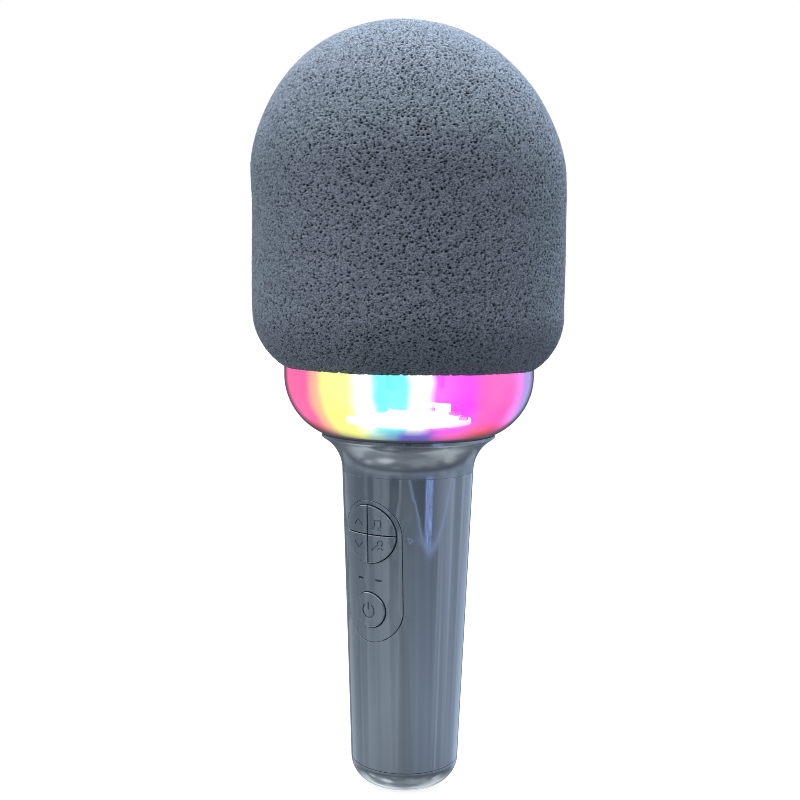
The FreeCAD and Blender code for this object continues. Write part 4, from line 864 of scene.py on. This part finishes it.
def arch(t, walls, degrees, z):
    """A dark arch on the walls, brighter on its right and along its outline. A blue lamp hangs in it."""
    aside = t.math("DIVIDE", t.math("SUBTRACT", degrees, ARCH_CENTRE), ARCH_HALF_WIDTH)
    depth = t.math("DIVIDE", t.math("SUBTRACT", z, ARCH_APEX_Z), ARCH_RISE)
    inside = t.math("SUBTRACT", depth, t.math("MULTIPLY", aside, aside))
    shades = t.ramp(
        aside,
        (0.05, colour(0.24, 0.30, 0.42)), (0.20, colour(0.8, 1.0, 1.35)), (0.8, colour(1.6, 1.9, 2.35)),
    )
    walls = t.mix(t.ramp(inside, (0.0, grey(0)), (0.12, grey(1))), walls, shades)
    away = t.math("MULTIPLY", t.math("ABSOLUTE", inside), ARCH_OUTLINE_SHARPNESS)
    outline = t.math("MAXIMUM", t.math("SUBTRACT", 1.0, away), 0.0)
    walls = t.mix(outline, walls, colour(2.0, 2.5, 4.2))
    spot = t.node("CombineXYZ", X=t.math("MULTIPLY", z, BLOTCHES_PER_Z), Y=degrees).outputs[0]
    blotches = t.node("TexNoise", noise_dimensions="2D", Vector=spot, Scale=1.0, Detail=2.0)
    glass = t.ramp(blotches.outputs["Fac"], (0.40, colour(0.6, 0.9, 1.6)), (0.60, colour(2.7, 3.9, 8.2)))
    width = band(t, degrees, *HANGING_LAMP_DEGREES, HANGING_LAMP_BLUR)
    hung = t.math("MULTIPLY", width, t.ramp(inside, (0.0, grey(0)), (0.06, grey(1))))
    return t.mix(hung, walls, glass)


def table(t, way):
    """What lies below: a pale table top in soft patches, with the glow of lamps on it."""
    patches = t.node("TexNoise", Vector=way, Scale=2.6, Detail=1.0).outputs["Fac"]
    dim, bright = colour(1.00, 1.15, 1.28), colour(1.95, 2.20, 2.35)
    tone = t.ramp(patches, (0.38, dim), (0.62, bright), smooth="EASE")
    for degrees, z, radius, level in LAMPS_BELOW:
        angle = TOWARD_CAMERA + math.radians(degrees)
        flat = math.sqrt(1 - z * z)
        likeness = t.node("VectorMath", operation="DOT_PRODUCT")
        t.set(likeness.inputs[0], way)
        likeness.inputs[1].default_value = (flat * math.cos(angle), flat * math.sin(angle), z)
        edge, core = math.cos(math.radians(radius)), math.cos(math.radians(LAMP_CORE * radius))
        glow = t.limits(likeness.outputs["Value"], edge, core)
        tone = t.mix(glow, tone, colour(level * 0.92, level, level * 1.04))
    return tone


def reflections(t, way):
    """What glossy surfaces see: upright soft boxes, an arch, a ceiling, a table and its dark edge."""
    split = t.node("SeparateXYZ", Vector=way)
    angle = t.math("ARCTAN2", split.outputs["Y"], split.outputs["X"])
    turn = t.math("DIVIDE", t.math("SUBTRACT", angle, TOWARD_CAMERA), 2 * math.pi)
    turn = t.math("FRACT", t.math("ADD", turn, 1.5))
    degrees = t.math("MULTIPLY_ADD", turn, 360.0, -180.0)
    z = split.outputs["Z"]
    down = t.math("DIVIDE", t.math("SUBTRACT", LOW_FROM_Z, z), LOW_OVER_Z)
    level = stripes(t, turn, COOL, LEVEL_STRIPES)
    low = stripes(t, turn, COOL, LOW_STRIPES)
    walls = t.mix(t.ramp(down, (0.0, grey(0)), (1.0, grey(1))), level, low)
    walls = t.mix(t.limits(degrees, *BLUER_DEGREES), walls, t.scaled(walls, BLUER))
    furniture = t.node("TexNoise", noise_dimensions="1D", Scale=1.0, Detail=2.0)
    across = t.math("MULTIPLY", turn, PANES_PER_TURN)
    t.set(furniture.inputs["W"], t.math("MULTIPLY_ADD", z, PANES_PER_Z, across))
    panes = t.ramp(
        furniture.outputs["Fac"],
        (0.0, grey(0.88)), (0.40, grey(0.88)), (0.41, grey(0.97)), (0.50, grey(0.97)),
        (0.51, grey(1.04)), (0.59, grey(1.04)), (0.60, grey(1.13)),
    )
    walls = t.scaled(walls, panes)
    after_start = t.math("GREATER_THAN", degrees, WEDGE[0])
    before_end = t.math("LESS_THAN", degrees, t.math("MULTIPLY_ADD", down, WEDGE[1], WEDGE[0]))
    wedge = t.math("MULTIPLY", after_start, before_end)
    walls = t.mix(wedge, walls, t.shade(walls, WEDGE_SHADE))
    walls = arch(t, walls, degrees, z)
    walls = t.mix(t.limits(z, *CEILING_Z), walls, colour(4.2, 4.8, 5.4))
    walls = t.mix(t.limits(z, *UNDER_EDGE_Z), walls, colour(0.34, 0.39, 0.43))
    return t.mix(t.limits(z, *TABLE_Z), walls, table(t, way))


def floor():
    """Plain pale floor. It shows to the camera with a faint shadow, but doesn't tint the object."""
    mesh = bpy.data.meshes.new("floor")
    level = cad_low.z - FLOOR_DROP
    corners = [(x * FLOOR_HALF, y * FLOOR_HALF, level) for x, y in ((-1, -1), (1, -1), (1, 1), (-1, 1))]
    mesh.from_pydata(corners, [], [(0, 1, 2, 3)])
    plane = bpy.data.objects.new("floor", mesh)
    bpy.context.scene.collection.objects.link(plane)
    made, t, out = new_material("floor")
    matt = t.node("BsdfDiffuse", Color=grey(0.30))
    glow = t.node("Emission", Color=grey(1), Strength=0.86)
    both = t.node("AddShader")
    t.set(both.inputs[0], matt.outputs[0])
    t.set(both.inputs[1], glow.outputs[0])
    gone = t.node("BsdfTransparent", Color=grey(1))
    pick = t.node("MixShader")
    t.set(pick.inputs[0], t.node("LightPath").outputs["Is Camera Ray"])
    t.set(pick.inputs[1], gone.outputs[0])
    t.set(pick.inputs[2], both.outputs[0])
    t.set(out.inputs["Surface"], pick.outputs[0])
    mesh.materials.append(made)


def soft_box(name, aside, back, up, size, power, tint=(1, 1, 1)):
    """Area light aimed at the head, placed from there to the camera's right, away from it and up."""
    target = Vector((0, 0, LIGHTS_AIM_Z))
    data = bpy.data.lights.new(name, "AREA")
    data.shape = "RECTANGLE"
    data.size, data.size_y = size
    data.energy = power
    data.color = tint
    lamp = bpy.data.objects.new(name, data)
    lamp.location = target + RIGHT * aside + AWAY * back + Vector((0, 0, up))
    lamp.rotation_euler = (target - lamp.location).to_track_quat("-Z", "Y").to_euler()
    lamp.visible_glossy = False
    bpy.context.scene.collection.objects.link(lamp)


def camera():
    """Camera close to the object, looking a little down on it."""
    data = bpy.data.cameras.new("camera")
    data.lens = CAMERA_LENS
    data.sensor_width = CAMERA_SENSOR
    data.clip_start = CAMERA_NEAREST
    made = bpy.data.objects.new("camera", data)
    made.location = RIGHT * CAMERA_ASIDE - AWAY * CAMERA_DISTANCE + Vector((0, 0, CAMERA_HEIGHT))
    turn = Euler((math.pi / 2 + CAMERA_PITCH, 0, CAMERA_AZIMUTH), "XYZ").to_matrix()
    roll = Euler((0, 0, CAMERA_ROLL), "XYZ").to_matrix()
    made.rotation_euler = (turn @ roll).to_euler()
    bpy.context.scene.collection.objects.link(made)
    bpy.context.scene.camera = made


foam_dome()
dress()
studio()
floor()
soft_box("top_light", aside=0.02, back=0.05, up=0.55, size=(0.45, 0.45), power=7.0)
soft_box("left_light", aside=-0.60, back=-0.20, up=0.10, size=(0.25, 0.60), power=1.6)
soft_box("right_light", aside=0.60, back=-0.10, up=0.0, size=(0.25, 0.60), power=0.35, tint=SKY_TINT)
soft_box("back_rim", aside=0.35, back=0.45, up=0.35, size=(0.20, 0.50), power=4.0, tint=RIM_TINT)
camera()
bpy.context.scene.view_settings.view_transform = "Standard"
bpy.context.scene.view_settings.look = "None"
bpy.context.scene.cycles.filter_width = 1.0
